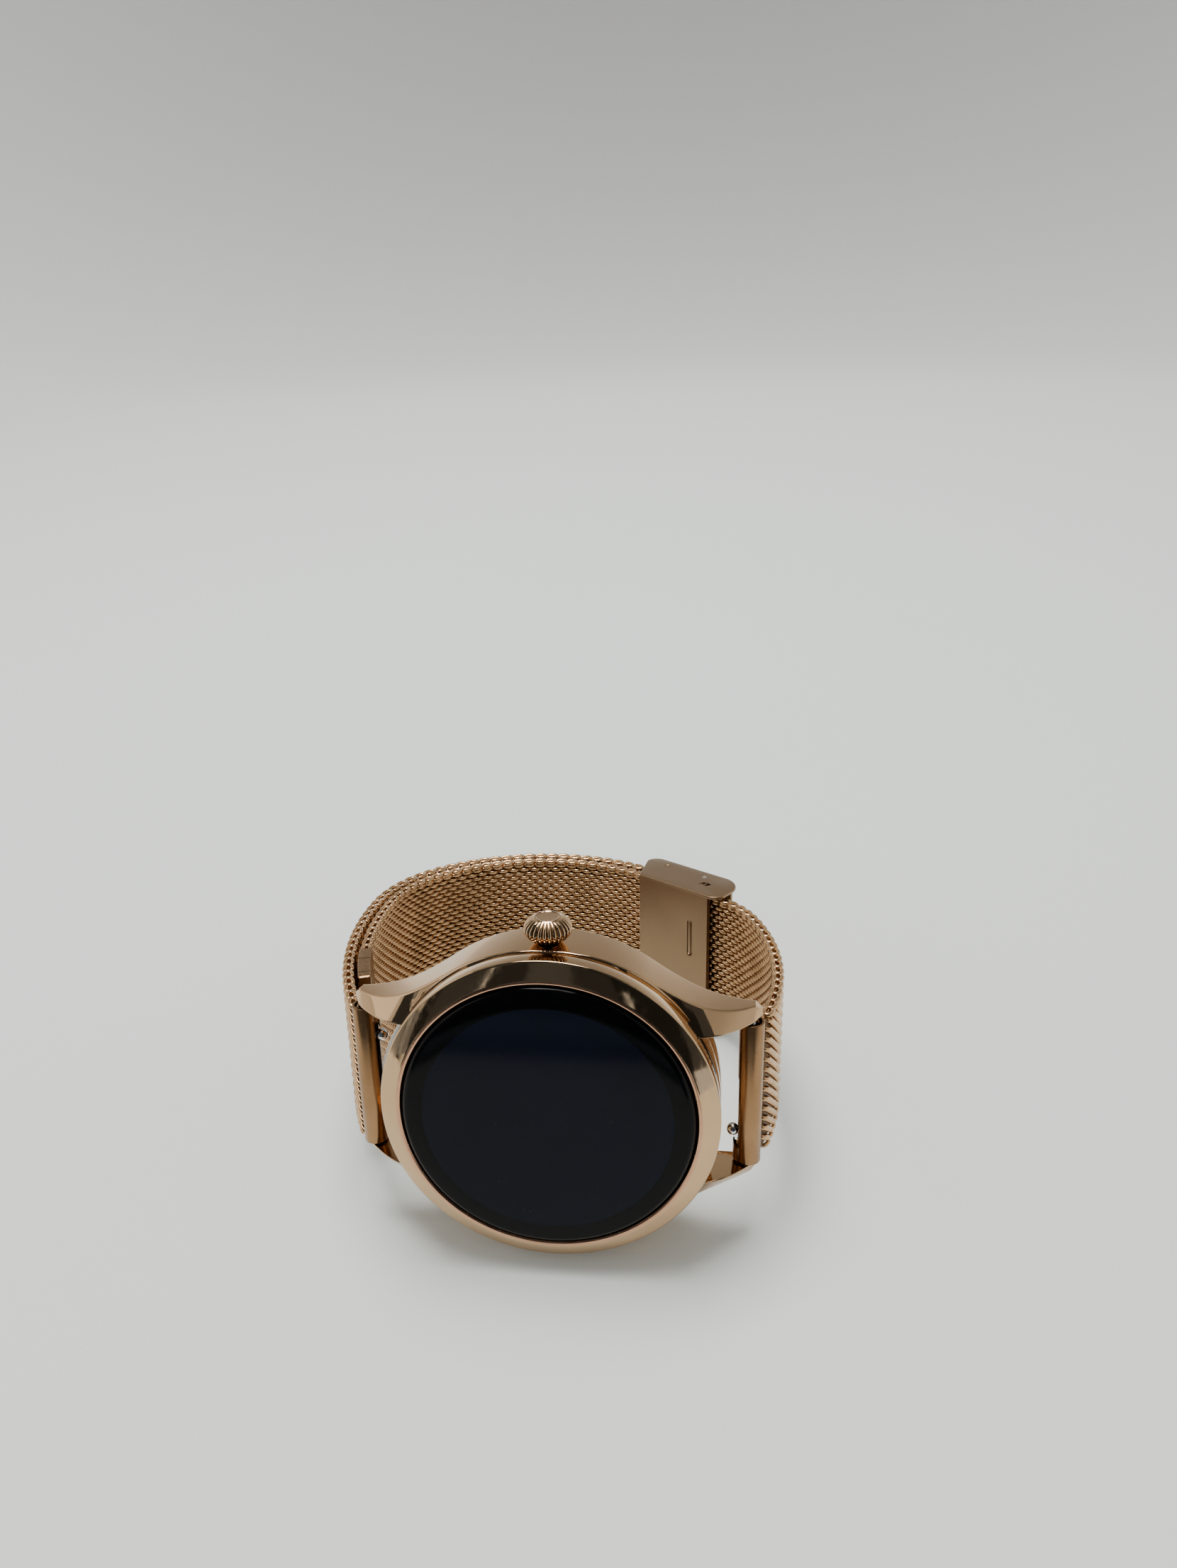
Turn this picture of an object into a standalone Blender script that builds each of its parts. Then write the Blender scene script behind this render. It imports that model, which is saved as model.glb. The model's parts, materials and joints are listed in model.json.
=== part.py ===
"""A round smartwatch with a woven-mesh strap, as separate named pieces.

Run it with blender --background --python part.py, or from Blender's text editor.

Lengths in this file are millimetres in the watch's own frame, and become metres when a mesh is made:
X runs from the left lugs to the right lugs, Y from the display back towards the wrist, and Z along
the crown stem. An empty then sets the watch down on its side, crown up, as it lies on a table: it
tips back until the strap's lower edge and the lowest point of the case stand on the same plane.
"""
import math

import bmesh
import bpy
from mathutils import Matrix, Vector

MM = 0.001
GAP = 0.3                    # between pieces that lie face to face

# Driving dimensions: head
CASE_R = 19.1                # middle case, outside
CASE_BORE_R = 16.7
CASE_FRONT_Y = 1.95
CASE_REAR_Y = 8.0
BEZEL_R = 19.0
BEZEL_CREST_Y = -0.88        # the bezel's crest, its nearest line to the viewer
GLASS_Y = -1.2               # outer face of the glass
GLASS_R = 16.4
DISPLAY_R = 14.9
BACK_R = 18.4
BACK_Y = 10.1                # outer face of the sensor window
CROWN_Y = 4.3                # depth of the crown stem
CROWN_R = 2.67
FLUTES = 28
ROUND = 64                   # sides on the large turned pieces

# Driving dimensions: lugs, spring bars and strap
LUG_GAP_HALF = 9.35
LUG_TIP_X = 23.35
LUG_Z = 11.0                 # outer flank of a lug at its tip
BAR_X = 22.2
BAR_Y = 6.5
TUBE_R = 1.4
STRAP_HALF = 9.0             # an 18 mm strap
MESH_THICK = 1.6
LAYER_GAP = 0.3              # between the strap's two layers

# The seam between the two strap layers, seen along Z: it leaves the left lug at this point and
# heading, and turns clockwise through arcs of (radius, degrees) and one straight run at the clasp.
SEAM_START = (-22.15, 6.35)
SEAM_HEADING = 119.0
CLASP_RUN = 13.8
SEAM = ((49.0, 34.0), (17.0, 45.3), (24.6, 74.5), (None, CLASP_RUN), (13.0, 32.3), (36.8, 44.4))

# Stations along the seam, in millimetres from the left lug
FLEX_GAP = 0.3
LEFT_STATIONS = (1.9, 24.0, 48.5, 73.0)
TAIL_STATIONS = (15.0, 44.0, 73.4)
TIP_STATIONS = (7.0, 14.7)
RIGHT_STATIONS = (104.0, 122.0)

# Driving dimensions: clasp, in its own frame (u along the seam, n outwards)
CLASP_HALF = 9.75
CLASP_WALL = 0.5
PLATE_IN = -2.8
PLATE_OUT = -2.1
COVER_PIN = (1.9, 2.2)
END_PIN = (-4.7, 1.9)

ROSE_GOLD = (0.80, 0.52, 0.38)
COLOURS = {
    "rose_gold_polished": (ROSE_GOLD, 0.12, 1.0),
    "rose_gold_satin": ((0.74, 0.50, 0.34), 0.32, 1.0),
    "mesh_gold": ((0.70, 0.48, 0.31), 0.3, 1.0),
    "steel": ((0.62, 0.61, 0.60), 0.25, 1.0),
    "display_glass": ((0.01, 0.01, 0.012), 0.05, 0.0),
    "display_black": ((0.012, 0.014, 0.02), 0.2, 0.0),
    "circuit_green": ((0.02, 0.10, 0.05), 0.45, 0.0),
    "battery_silver": ((0.55, 0.56, 0.58), 0.4, 1.0),
    "black_plastic": ((0.02, 0.02, 0.02), 0.45, 0.0),
    "seal_rubber": ((0.015, 0.015, 0.015), 0.7, 0.0),
    "contact_gold": ((0.85, 0.62, 0.25), 0.2, 1.0),
}

# Turns a shape modelled about +Z so that its axis runs along +Y, from the display to the wrist
FACING_BACK = Matrix.Rotation(math.radians(-90), 4, "X")


def clear_scene():
    for old in list(bpy.data.objects):
        bpy.data.objects.remove(old, do_unlink=True)


def make_materials():
    """One Principled material for each finish."""
    made = {}
    for name, (colour, roughness, metallic) in COLOURS.items():
        material = bpy.data.materials.new(name)
        material.use_nodes = True
        shader = material.node_tree.nodes["Principled BSDF"]
        shader.inputs["Base Color"].default_value = (*colour, 1.0)
        shader.inputs["Roughness"].default_value = roughness
        shader.inputs["Metallic"].default_value = metallic
        material.diffuse_color = (*colour, 1.0)
        made[name] = material
    return made


# ---------------------------------------------------------------- the seam

def seam_at(station, outwards=0.0):
    """Point (x, y) and heading, in radians, at a distance along the seam."""
    x, y = SEAM_START
    heading = math.radians(SEAM_HEADING)
    left = station
    for radius, amount in SEAM:
        length = amount if radius is None else radius * math.radians(amount)
        run = min(left, length)
        last = (radius, amount) == SEAM[-1]
        if last:
            run = left
        if radius is None:
            x += run * math.cos(heading)
            y += run * math.sin(heading)
        else:
            turned_by = run / radius
            centre_x = x + radius * math.sin(heading)
            centre_y = y - radius * math.cos(heading)
            heading -= turned_by
            x = centre_x - radius * math.sin(heading)
            y = centre_y + radius * math.cos(heading)
        left -= run
        if left <= 0:
            break
    return x - outwards * math.sin(heading), y + outwards * math.cos(heading), heading


def clasp_frame():
    """The clasp's own frame: u along the seam's straight run, n outwards, origin at its middle."""
    before = sum(radius * math.radians(amount) for radius, amount in SEAM[:3])
    x, y, heading = seam_at(before + CLASP_RUN / 2)
    return Matrix.Translation((x, y, 0.0)) @ Matrix.Rotation(heading, 4, "Z")


# ---------------------------------------------------------------- solids

class Workshop:
    """Makes each piece in millimetres and puts it under the resting empty."""

    def __init__(self, materials, parent):
        self.materials = materials
        self.parent = parent

    def keep(self, name, mesh_builder, material, place=None, pivot=(0.0, 0.0, 0.0)):
        """Turns a bmesh into an object whose origin is at pivot, in the watch's frame."""
        if place is not None:
            bmesh.ops.transform(mesh_builder, matrix=place, verts=mesh_builder.verts)
        bmesh.ops.translate(mesh_builder, vec=-Vector(pivot), verts=mesh_builder.verts)
        bmesh.ops.scale(mesh_builder, vec=(MM, MM, MM), verts=mesh_builder.verts)
        bmesh.ops.recalc_face_normals(mesh_builder, faces=mesh_builder.faces)
        mesh = bpy.data.meshes.new(name)
        mesh_builder.to_mesh(mesh)
        mesh_builder.free()
        mesh.shade_smooth()
        mesh.set_sharp_from_angle(angle=math.radians(30))
        piece = bpy.data.objects.new(name, mesh)
        bpy.context.collection.objects.link(piece)
        piece.parent = self.parent
        piece.location = Vector(pivot) * MM
        if material:
            mesh.materials.append(self.materials[material])
        return piece

    def cutter(self, name, mesh_builder, place=None):
        tool = self.keep(name, mesh_builder, None, place)
        tool.hide_render = True
        tool.display_type = "WIRE"
        return tool


def turned(profile, sides=ROUND, closed=False):
    """A turned solid about +Z from (radius, height) points; a closed profile makes a ring."""
    solid = bmesh.new()
    rings = []
    for radius, height in profile:
        if radius == 0:
            rings.append([solid.verts.new((0, 0, height))])
            continue
        ring = []
        for i in range(sides):
            angle = 2 * math.pi * i / sides
            ring.append(solid.verts.new((radius * math.cos(angle), radius * math.sin(angle), height)))
        rings.append(ring)
    pairs = list(zip(rings, rings[1:]))
    if closed:
        pairs.append((rings[-1], rings[0]))
    for low, high in pairs:
        for i in range(sides):
            j = (i + 1) % sides
            if len(low) == 1:
                solid.faces.new((low[0], high[j], high[i]))
            elif len(high) == 1:
                solid.faces.new((low[i], low[j], high[0]))
            else:
                solid.faces.new((low[i], low[j], high[j], high[i]))
    return solid


def disc(radius, low, high, sides=ROUND):
    return turned(((0, low), (radius, low), (radius, high), (0, high)), sides)


def ring(inner, outer, low, high, sides=ROUND):
    return turned(((inner, low), (outer, low), (outer, high), (inner, high)), sides, closed=True)


def prism(outline, low, high):
    """An outline of (x, y) points extruded along Z."""
    solid = bmesh.new()
    bottom = [solid.verts.new((x, y, low)) for x, y in outline]
    top = [solid.verts.new((x, y, high)) for x, y in outline]
    solid.faces.new(bottom)
    solid.faces.new(top)
    for i in range(len(outline)):
        j = (i + 1) % len(outline)
        solid.faces.new((bottom[i], bottom[j], top[j], top[i]))
    return solid


def box(low, high):
    (x0, y0, z0), (x1, y1, z1) = low, high
    return prism(((x0, y0), (x1, y0), (x1, y1), (x0, y1)), z0, z1)


def loft(sections):
    """Joins sections, each a list of points of the same count, and closes both ends."""
    solid = bmesh.new()
    rows = [[solid.verts.new(point) for point in section] for section in sections]
    for first, second in zip(rows, rows[1:]):
        for i in range(len(first)):
            j = (i + 1) % len(first)
            solid.faces.new((first[i], first[j], second[j], second[i]))
    solid.faces.new(rows[0])
    solid.faces.new(rows[-1])
    return solid


def arc(centre, radius, start, end, steps):
    """Points on an arc, from start to end degrees."""
    points = []
    for i in range(steps + 1):
        angle = math.radians(start + (end - start) * i / steps)
        points.append((centre[0] + radius * math.cos(angle), centre[1] + radius * math.sin(angle)))
    return points


def coil(radius, wire_radius, low, high, turns, around, wire_sides):
    """A helical spring about +Z with closed ends."""
    sections = []
    steps = turns * around
    rise = (high - low - 2 * wire_radius) / steps
    for i in range(steps + 1):
        angle = 2 * math.pi * i / around
        outwards = Vector((math.cos(angle), math.sin(angle), 0.0))
        centre = outwards * radius + Vector((0, 0, low + wire_radius + rise * i))
        section = []
        for k in range(wire_sides):
            around_wire = 2 * math.pi * k / wire_sides
            section.append(centre + outwards * (wire_radius * math.cos(around_wire))
                           + Vector((0, 0, wire_radius * math.sin(around_wire))))
        sections.append(section)
    return loft(sections)


def join_meshes(*builders):
    """Puts several separate solids into one mesh."""
    whole = bmesh.new()
    for builder in builders:
        copied = {vert: whole.verts.new(vert.co) for vert in builder.verts}
        for face in builder.faces:
            whole.faces.new([copied[vert] for vert in face.verts])
        builder.free()
    return whole


def moved(builder, place):
    bmesh.ops.transform(builder, matrix=place, verts=builder.verts)
    return builder


def combine(piece, tool, operation):
    step = piece.modifiers.new(operation.lower(), "BOOLEAN")
    step.operation = operation
    step.solver = "EXACT"
    step.object = tool


def band(start, end, inner, outer, half_width, step=2.5, edge=0.3):
    """A stretch of strap that follows the seam, between two offsets from it."""
    count = max(1, round(abs(end - start) / step))
    sections = []
    for i in range(count + 1):
        station = start + (end - start) * i / count
        profile = ((inner, -half_width + edge), (inner + edge, -half_width),
                   (outer - edge, -half_width), (outer, -half_width + edge),
                   (outer, half_width - edge), (outer - edge, half_width),
                   (inner + edge, half_width), (inner, half_width - edge))
        section = []
        for offset, z in profile:
            x, y, _ = seam_at(station, offset)
            section.append((x, y, z))
        sections.append(section)
    return loft(sections)


# ---------------------------------------------------------------- head

def lug(side, top):
    """One lug: its outer flank sweeps off the case in an S, and its front slopes back to the tip."""
    flank_start = Vector((10.8, 15.3))
    flank_end = Vector((22.6, LUG_Z))
    pull_start = flank_start + Vector((4.6, -3.4))
    pull_end = flank_end + Vector((-4.5, 0.45))
    inner_start = 15.6
    pad_start = 19.4             # the flat inner pad, which the strap's end fits against
    root_relief = 0.25
    sections = []
    steps = 9
    for i in range(steps + 1):
        t = i / steps
        s = 1 - t
        outer = (s ** 3 * flank_start + 3 * s * s * t * pull_start
                 + 3 * s * t * t * pull_end + t ** 3 * flank_end)
        inner_x = inner_start + (22.6 - inner_start) * t
        front_outer = 2.6 + 4.0 * t ** 2.6
        front_inner = 2.0 + 3.6 * t ** 2.0
        relief = root_relief * max(0.0, (pad_start - inner_x) / (pad_start - inner_start))
        inner_z = LUG_GAP_HALF + relief
        sections.append((outer.x, outer.y, front_outer, inner_x, inner_z, front_inner))
    sections.append((LUG_TIP_X, 10.3, 7.1, LUG_TIP_X, LUG_GAP_HALF, 6.9))
    solid_sections = []
    for outer_x, outer_z, front_outer, inner_x, inner_z, front_inner in sections:
        solid_sections.append((
            (side * outer_x, front_outer, top * outer_z),
            (side * outer_x, CASE_REAR_Y, top * outer_z),
            (side * inner_x, CASE_REAR_Y, top * inner_z),
            (side * inner_x, front_inner, top * inner_z),
        ))
    return loft(solid_sections)


def make_case(shop):
    """The middle case: a ring with four lugs, a crown bore, bar holes and screw holes."""
    profile = ((CASE_BORE_R, CASE_FRONT_Y), (18.5, CASE_FRONT_Y), (18.8, 2.05), (CASE_R, 2.3),
               (CASE_R, 7.65), (18.75, CASE_REAR_Y), (CASE_BORE_R, CASE_REAR_Y))
    case = shop.keep("mid_case", turned(profile, closed=True), "rose_gold_polished", FACING_BACK)
    for side in (-1, 1):
        for top in (-1, 1):
            name = f"lug_{'left' if side < 0 else 'right'}_{'upper' if top > 0 else 'lower'}"
            combine(case, shop.cutter(name, lug(side, top)), "UNION")
    holes = [disc(1.25, 15.0, 21.0, 24)]
    holes[0] = moved(holes[0], Matrix.Translation((0, CROWN_Y, 0)))
    for side in (-1, 1):
        for top in (-1, 1):
            low, high = sorted((top * 9.0, top * 10.4))
            place = Matrix.Translation((side * BAR_X, BAR_Y, 0))
            holes.append(moved(disc(0.55, low, high, 12), place))
    for x, z in screw_places():
        place = Matrix.Translation((x, 0, z)) @ FACING_BACK
        holes.append(moved(disc(0.55, 5.6, CASE_REAR_Y + 1, 10), place))
    combine(case, shop.cutter("case_holes", join_meshes(*holes)), "DIFFERENCE")


def screw_places():
    """Centres (x, z) of the four case screws."""
    radius = 17.6
    return [(radius * math.cos(math.radians(a)), radius * math.sin(math.radians(a)))
            for a in (60, 120, 240, 300)]


def make_bezel_and_display(shop):
    bezel = ((BEZEL_R, 0.05), (18.9, -0.04), (16.95, BEZEL_CREST_Y), (16.7, -0.65), (16.7, 0.5),
             (15.6, 0.5), (15.6, 1.65), (18.6, 1.65), (BEZEL_R, 1.2))
    shop.keep("bezel_ring", turned(bezel, closed=True), "rose_gold_polished", FACING_BACK)
    glass = ((0, GLASS_Y), (16.0, GLASS_Y), (GLASS_R, -0.85), (GLASS_R, 0.0), (0, 0.0))
    shop.keep("cover_glass", turned(glass), "display_glass", FACING_BACK)
    shop.keep("glass_gasket", ring(15.8, GLASS_R, 0.12, 0.38, 40), "seal_rubber", FACING_BACK)
    shop.keep("display_panel", disc(DISPLAY_R, 0.25, 1.4, 40), "display_black", FACING_BACK)


def make_inside(shop):
    """The chassis, board, battery, motor and sensor board in the closed case."""
    chassis = ((0, 1.95), (16.2, 1.95), (16.2, 6.6), (15.6, 6.6), (15.6, 2.4), (0, 2.4))
    frame = shop.keep("inner_frame", turned(chassis, 40), "black_plastic", FACING_BACK)
    stem_hole = moved(disc(0.9, 14.0, 18.0, 16), Matrix.Translation((0, CROWN_Y, 0)))
    combine(frame, shop.cutter("chassis_stem_hole", stem_hole), "DIFFERENCE")

    board = arc((0, 0), 15.2, -75, 255, 30)
    board_place = Matrix.Rotation(math.radians(90), 4, "X")
    outline = [(x, y) for x, y in board] + [(-3.9, -11.5), (3.9, -11.5)]
    mirrored = [(x, -y) for x, y in outline]
    shop.keep("main_board", prism(mirrored, -3.4, -2.7), "circuit_green", board_place)
    shop.keep("crown_switch", box((-1.7, 3.1, 12.4), (1.7, 5.5, 15.0)), "black_plastic")
    shop.keep("battery", box((-10.0, 3.8, -8.8), (8.5, 6.6, 9.0)), "battery_silver")

    along_x = Matrix.Rotation(math.radians(90), 4, "Y")
    motor_place = Matrix.Translation((0, 5.2, -11.3)) @ along_x
    can = turned(((0, -4.5), (1.4, -4.5), (1.4, 1.6), (0.5, 1.6), (0.5, 1.9), (0, 1.9)), 24)
    shop.keep("motor_body", can, "steel", motor_place)
    half_disc = arc((0, 0), 1.3, 0, 180, 12)
    weight = moved(prism(half_disc + [(-0.4, -0.5), (0.4, -0.5)], 2.2, 4.7), motor_place)
    shop.keep("motor_weight", weight, "steel", pivot=(0, 5.2, -11.3))

    shop.keep("sensor_board", disc(7.5, 7.0, 7.5, 28), "circuit_green", FACING_BACK)


def make_back(shop):
    """The back cover with its sensor window, seal, charging contacts and screws."""
    cover = ((6.3, 8.0), (15.4, 7.9), (15.4, 7.2), (16.1, 7.2), (16.1, 8.3), (BACK_R, 8.3),
             (BACK_R, 8.8), (18.1, 9.1), (16.2, 9.1), (9.4, 9.9), (6.3, 9.9))
    back = shop.keep("back_cover", turned(cover, closed=True), "steel", FACING_BACK)
    holes = []
    for x, z in screw_places():
        holes.append(moved(disc(0.65, 7.6, 10.5, 12), Matrix.Translation((x, 0, z)) @ FACING_BACK))
    for x in (-1.6, 1.6):
        holes.append(moved(disc(0.8, 7.6, 10.5, 12), Matrix.Translation((x, 0, -7.6)) @ FACING_BACK))
    combine(back, shop.cutter("back_holes", join_meshes(*holes)), "DIFFERENCE")

    shop.keep("back_gasket", ring(16.22, 16.58, 7.5, 8.05, 40), "seal_rubber", FACING_BACK)
    window = ((0, 8.1), (6.0, 8.1), (6.0, 9.85), (5.7, BACK_Y), (0, BACK_Y))
    shop.keep("sensor_window", turned(window, 40), "display_glass", FACING_BACK)
    for word, x in (("left", -1.6), ("right", 1.6)):
        place = Matrix.Translation((x, 0, -7.6)) @ FACING_BACK
        shop.keep(f"charging_contact_{word}", disc(0.6, 8.2, 10.0, 12), "contact_gold", place)
    screw = ((0, 6.0), (0.35, 6.0), (0.35, 8.4), (0.55, 8.5), (0.55, 9.1), (0, 9.1))
    for number, (x, z) in enumerate(screw_places(), start=1):
        place = Matrix.Translation((x, 0, z)) @ FACING_BACK
        shop.keep(f"back_screw_{number}", turned(screw, 10), "steel", place)


def make_crown(shop):
    """The push crown: a fluted onion on a stem that slides in a tube and turns on its end."""
    at_crown = Matrix.Translation((0, CROWN_Y, 0))
    crown_pivot = (0, CROWN_Y, 0)
    tube = ((0.75, 16.9), (1.05, 16.9), (1.05, 19.2), (1.2, 19.25), (1.2, 19.5), (0.75, 19.5))
    shop.keep("crown_tube", moved(turned(tube, 24, closed=True), at_crown), "rose_gold_polished")
    stem = ((0, 15.5), (0.42, 15.5), (0.42, 21.25), (0, 21.25))
    shop.keep("crown_stem", moved(turned(stem, 16), at_crown), "steel", pivot=crown_pivot)
    seal = moved(ring(0.47, 0.7, 17.6, 18.1, 16), at_crown)
    shop.keep("crown_seal", seal, "seal_rubber", pivot=crown_pivot)
    spring = moved(coil(0.8, 0.1, 19.62, 20.55, 3, 10, 4), at_crown)
    shop.keep("crown_spring", spring, "steel", pivot=crown_pivot)

    bulb = ((0, 21.5), (0.55, 21.5), (0.55, 20.65), (1.3, 20.65), (1.3, 19.55), (1.7, 19.55),
            (2.3, 19.85), (2.62, 20.4), (CROWN_R, 20.75), (2.5, 21.35), (2.05, 21.85), (1.5, 22.2),
            (1.25, 22.1), (0, 22.1))
    knob = turned(bulb, 2 * FLUTES)
    valley_depth = 0.07
    for vert in knob.verts:
        radius = math.hypot(vert.co.x, vert.co.y)
        turn = round(math.atan2(vert.co.y, vert.co.x) * FLUTES / math.pi)
        fluted = radius > 1.9
        if fluted and turn % 2:
            vert.co.x *= 1 - valley_depth
            vert.co.y *= 1 - valley_depth
    shop.keep("crown_knob", moved(knob, at_crown), "rose_gold_polished", pivot=crown_pivot)


# ---------------------------------------------------------------- spring bars and strap

def make_bar(shop, side, lever_top):
    """An end tube on its spring bar. The lever pin is at the bar's upper end if lever_top is 1."""
    word = "left" if side < 0 else "right"
    axis = Matrix.Translation((side * BAR_X, BAR_Y, 0))
    flip = Matrix.Rotation(math.radians(180 if lever_top > 0 else 0), 4, "X")
    pivot = (side * BAR_X, BAR_Y, 0)

    # The lever's stem and knob point at the case, so the tube and the sleeve are slotted there
    shell = ring(1.1, TUBE_R, -9.1, 9.1, 24)
    tube = shop.keep(f"end_tube_{word}", moved(shell, axis), "rose_gold_satin", pivot=pivot)
    slot_low, slot_high = sorted((-lever_top * 1.9, lever_top * 7.0))
    reach = sorted((0.0, -side * 2.4))
    slot = moved(box((reach[0], -0.62, slot_low), (reach[1], 0.62, slot_high)), axis)
    combine(tube, shop.cutter(f"tube_slot_{word}", slot), "DIFFERENCE")

    # Modelled with the lever at the lower end, then turned over where it is at the upper end
    sleeve = ((0, 10.1), (0.35, 10.1), (0.4, 10.0), (0.4, 9.0), (0.8, 9.0), (0.8, -9.0), (0.55, -9.0),
              (0.55, 0.5), (0, 0.5))
    bar = shop.keep(f"spring_bar_{word}", moved(moved(turned(sleeve, 16), flip), axis), "steel",
                    pivot=pivot)
    window = moved(box((reach[0], -0.5, slot_low), (reach[1], 0.5, slot_high)), axis)
    combine(bar, shop.cutter(f"bar_slot_{word}", window), "DIFFERENCE")

    spring = moved(moved(coil(0.3, 0.09, -4.0, 0.3, 4, 8, 4), flip), axis)
    shop.keep(f"bar_spring_{word}", spring, "steel", pivot=pivot)

    pin = turned(((0, -10.1), (0.35, -10.1), (0.42, -10.0), (0.42, -4.2), (0, -4.2)), 16)
    lever = shop.keep(f"release_lever_{word}", moved(moved(pin, flip), axis), "steel", pivot=pivot)
    towards_case = Matrix.Rotation(math.radians(-90 * side), 4, "Y")
    knob = turned(((0, 0.1), (0.3, 0.1), (0.3, 1.45), (0.55, 1.6), (0.68, 1.9), (0.55, 2.25),
                   (0.25, 2.45), (0, 2.45)), 16)
    at_knob = Matrix.Translation((side * BAR_X, BAR_Y, lever_top * 5.2))
    combine(lever, shop.cutter(f"lever_knob_{word}", moved(knob, at_knob @ towards_case)), "UNION")


def make_strap(shop):
    """The left strap outside, and the long right strap inside it, each in stretches that flex."""
    outer = (LAYER_GAP / 2, LAYER_GAP / 2 + MESH_THICK)
    inner = (-LAYER_GAP / 2 - MESH_THICK, -LAYER_GAP / 2)
    for i, start in enumerate(LEFT_STATIONS[:-1]):
        begin = start + (FLEX_GAP / 2 if i else 0.0)
        finish = LEFT_STATIONS[i + 1] - (FLEX_GAP / 2 if i < 2 else 0.0)
        pivot = hinge_point(start, outer[1]) if i else (-BAR_X, BAR_Y, 0)
        shop.keep(f"strap_left_{i + 1}", band(begin, finish, *outer, STRAP_HALF), "mesh_gold",
                  pivot=pivot)

    near_lug = band(RIGHT_STATIONS[0] + FLEX_GAP / 2, RIGHT_STATIONS[1], *inner, STRAP_HALF)
    shop.keep("strap_right_1", near_lug, "mesh_gold", pivot=(BAR_X, BAR_Y, 0))
    through_clasp = band(RIGHT_STATIONS[0] - FLEX_GAP / 2, TAIL_STATIONS[2] + FLEX_GAP / 2, *inner,
                         STRAP_HALF)
    shop.keep("strap_right_2", through_clasp, "mesh_gold",
              pivot=hinge_point(RIGHT_STATIONS[0], inner[1]))
    for i, start in ((1, TAIL_STATIONS[2]), (2, TAIL_STATIONS[1])):
        finish = TAIL_STATIONS[1] + FLEX_GAP / 2 if i == 1 else TAIL_STATIONS[0]
        shop.keep(f"strap_tail_{i}", band(start - FLEX_GAP / 2, finish, *inner, STRAP_HALF),
                  "mesh_gold", pivot=hinge_point(start, inner[1]))
    tip = band(TIP_STATIONS[1], TIP_STATIONS[0], inner[0] - 0.05, inner[1], STRAP_HALF, edge=0.2)
    shop.keep("tail_tip", tip, "rose_gold_satin", pivot=hinge_point(TAIL_STATIONS[1], inner[1]))


def hinge_point(station, offset):
    x, y, _ = seam_at(station, offset)
    return x, y, 0.0


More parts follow.
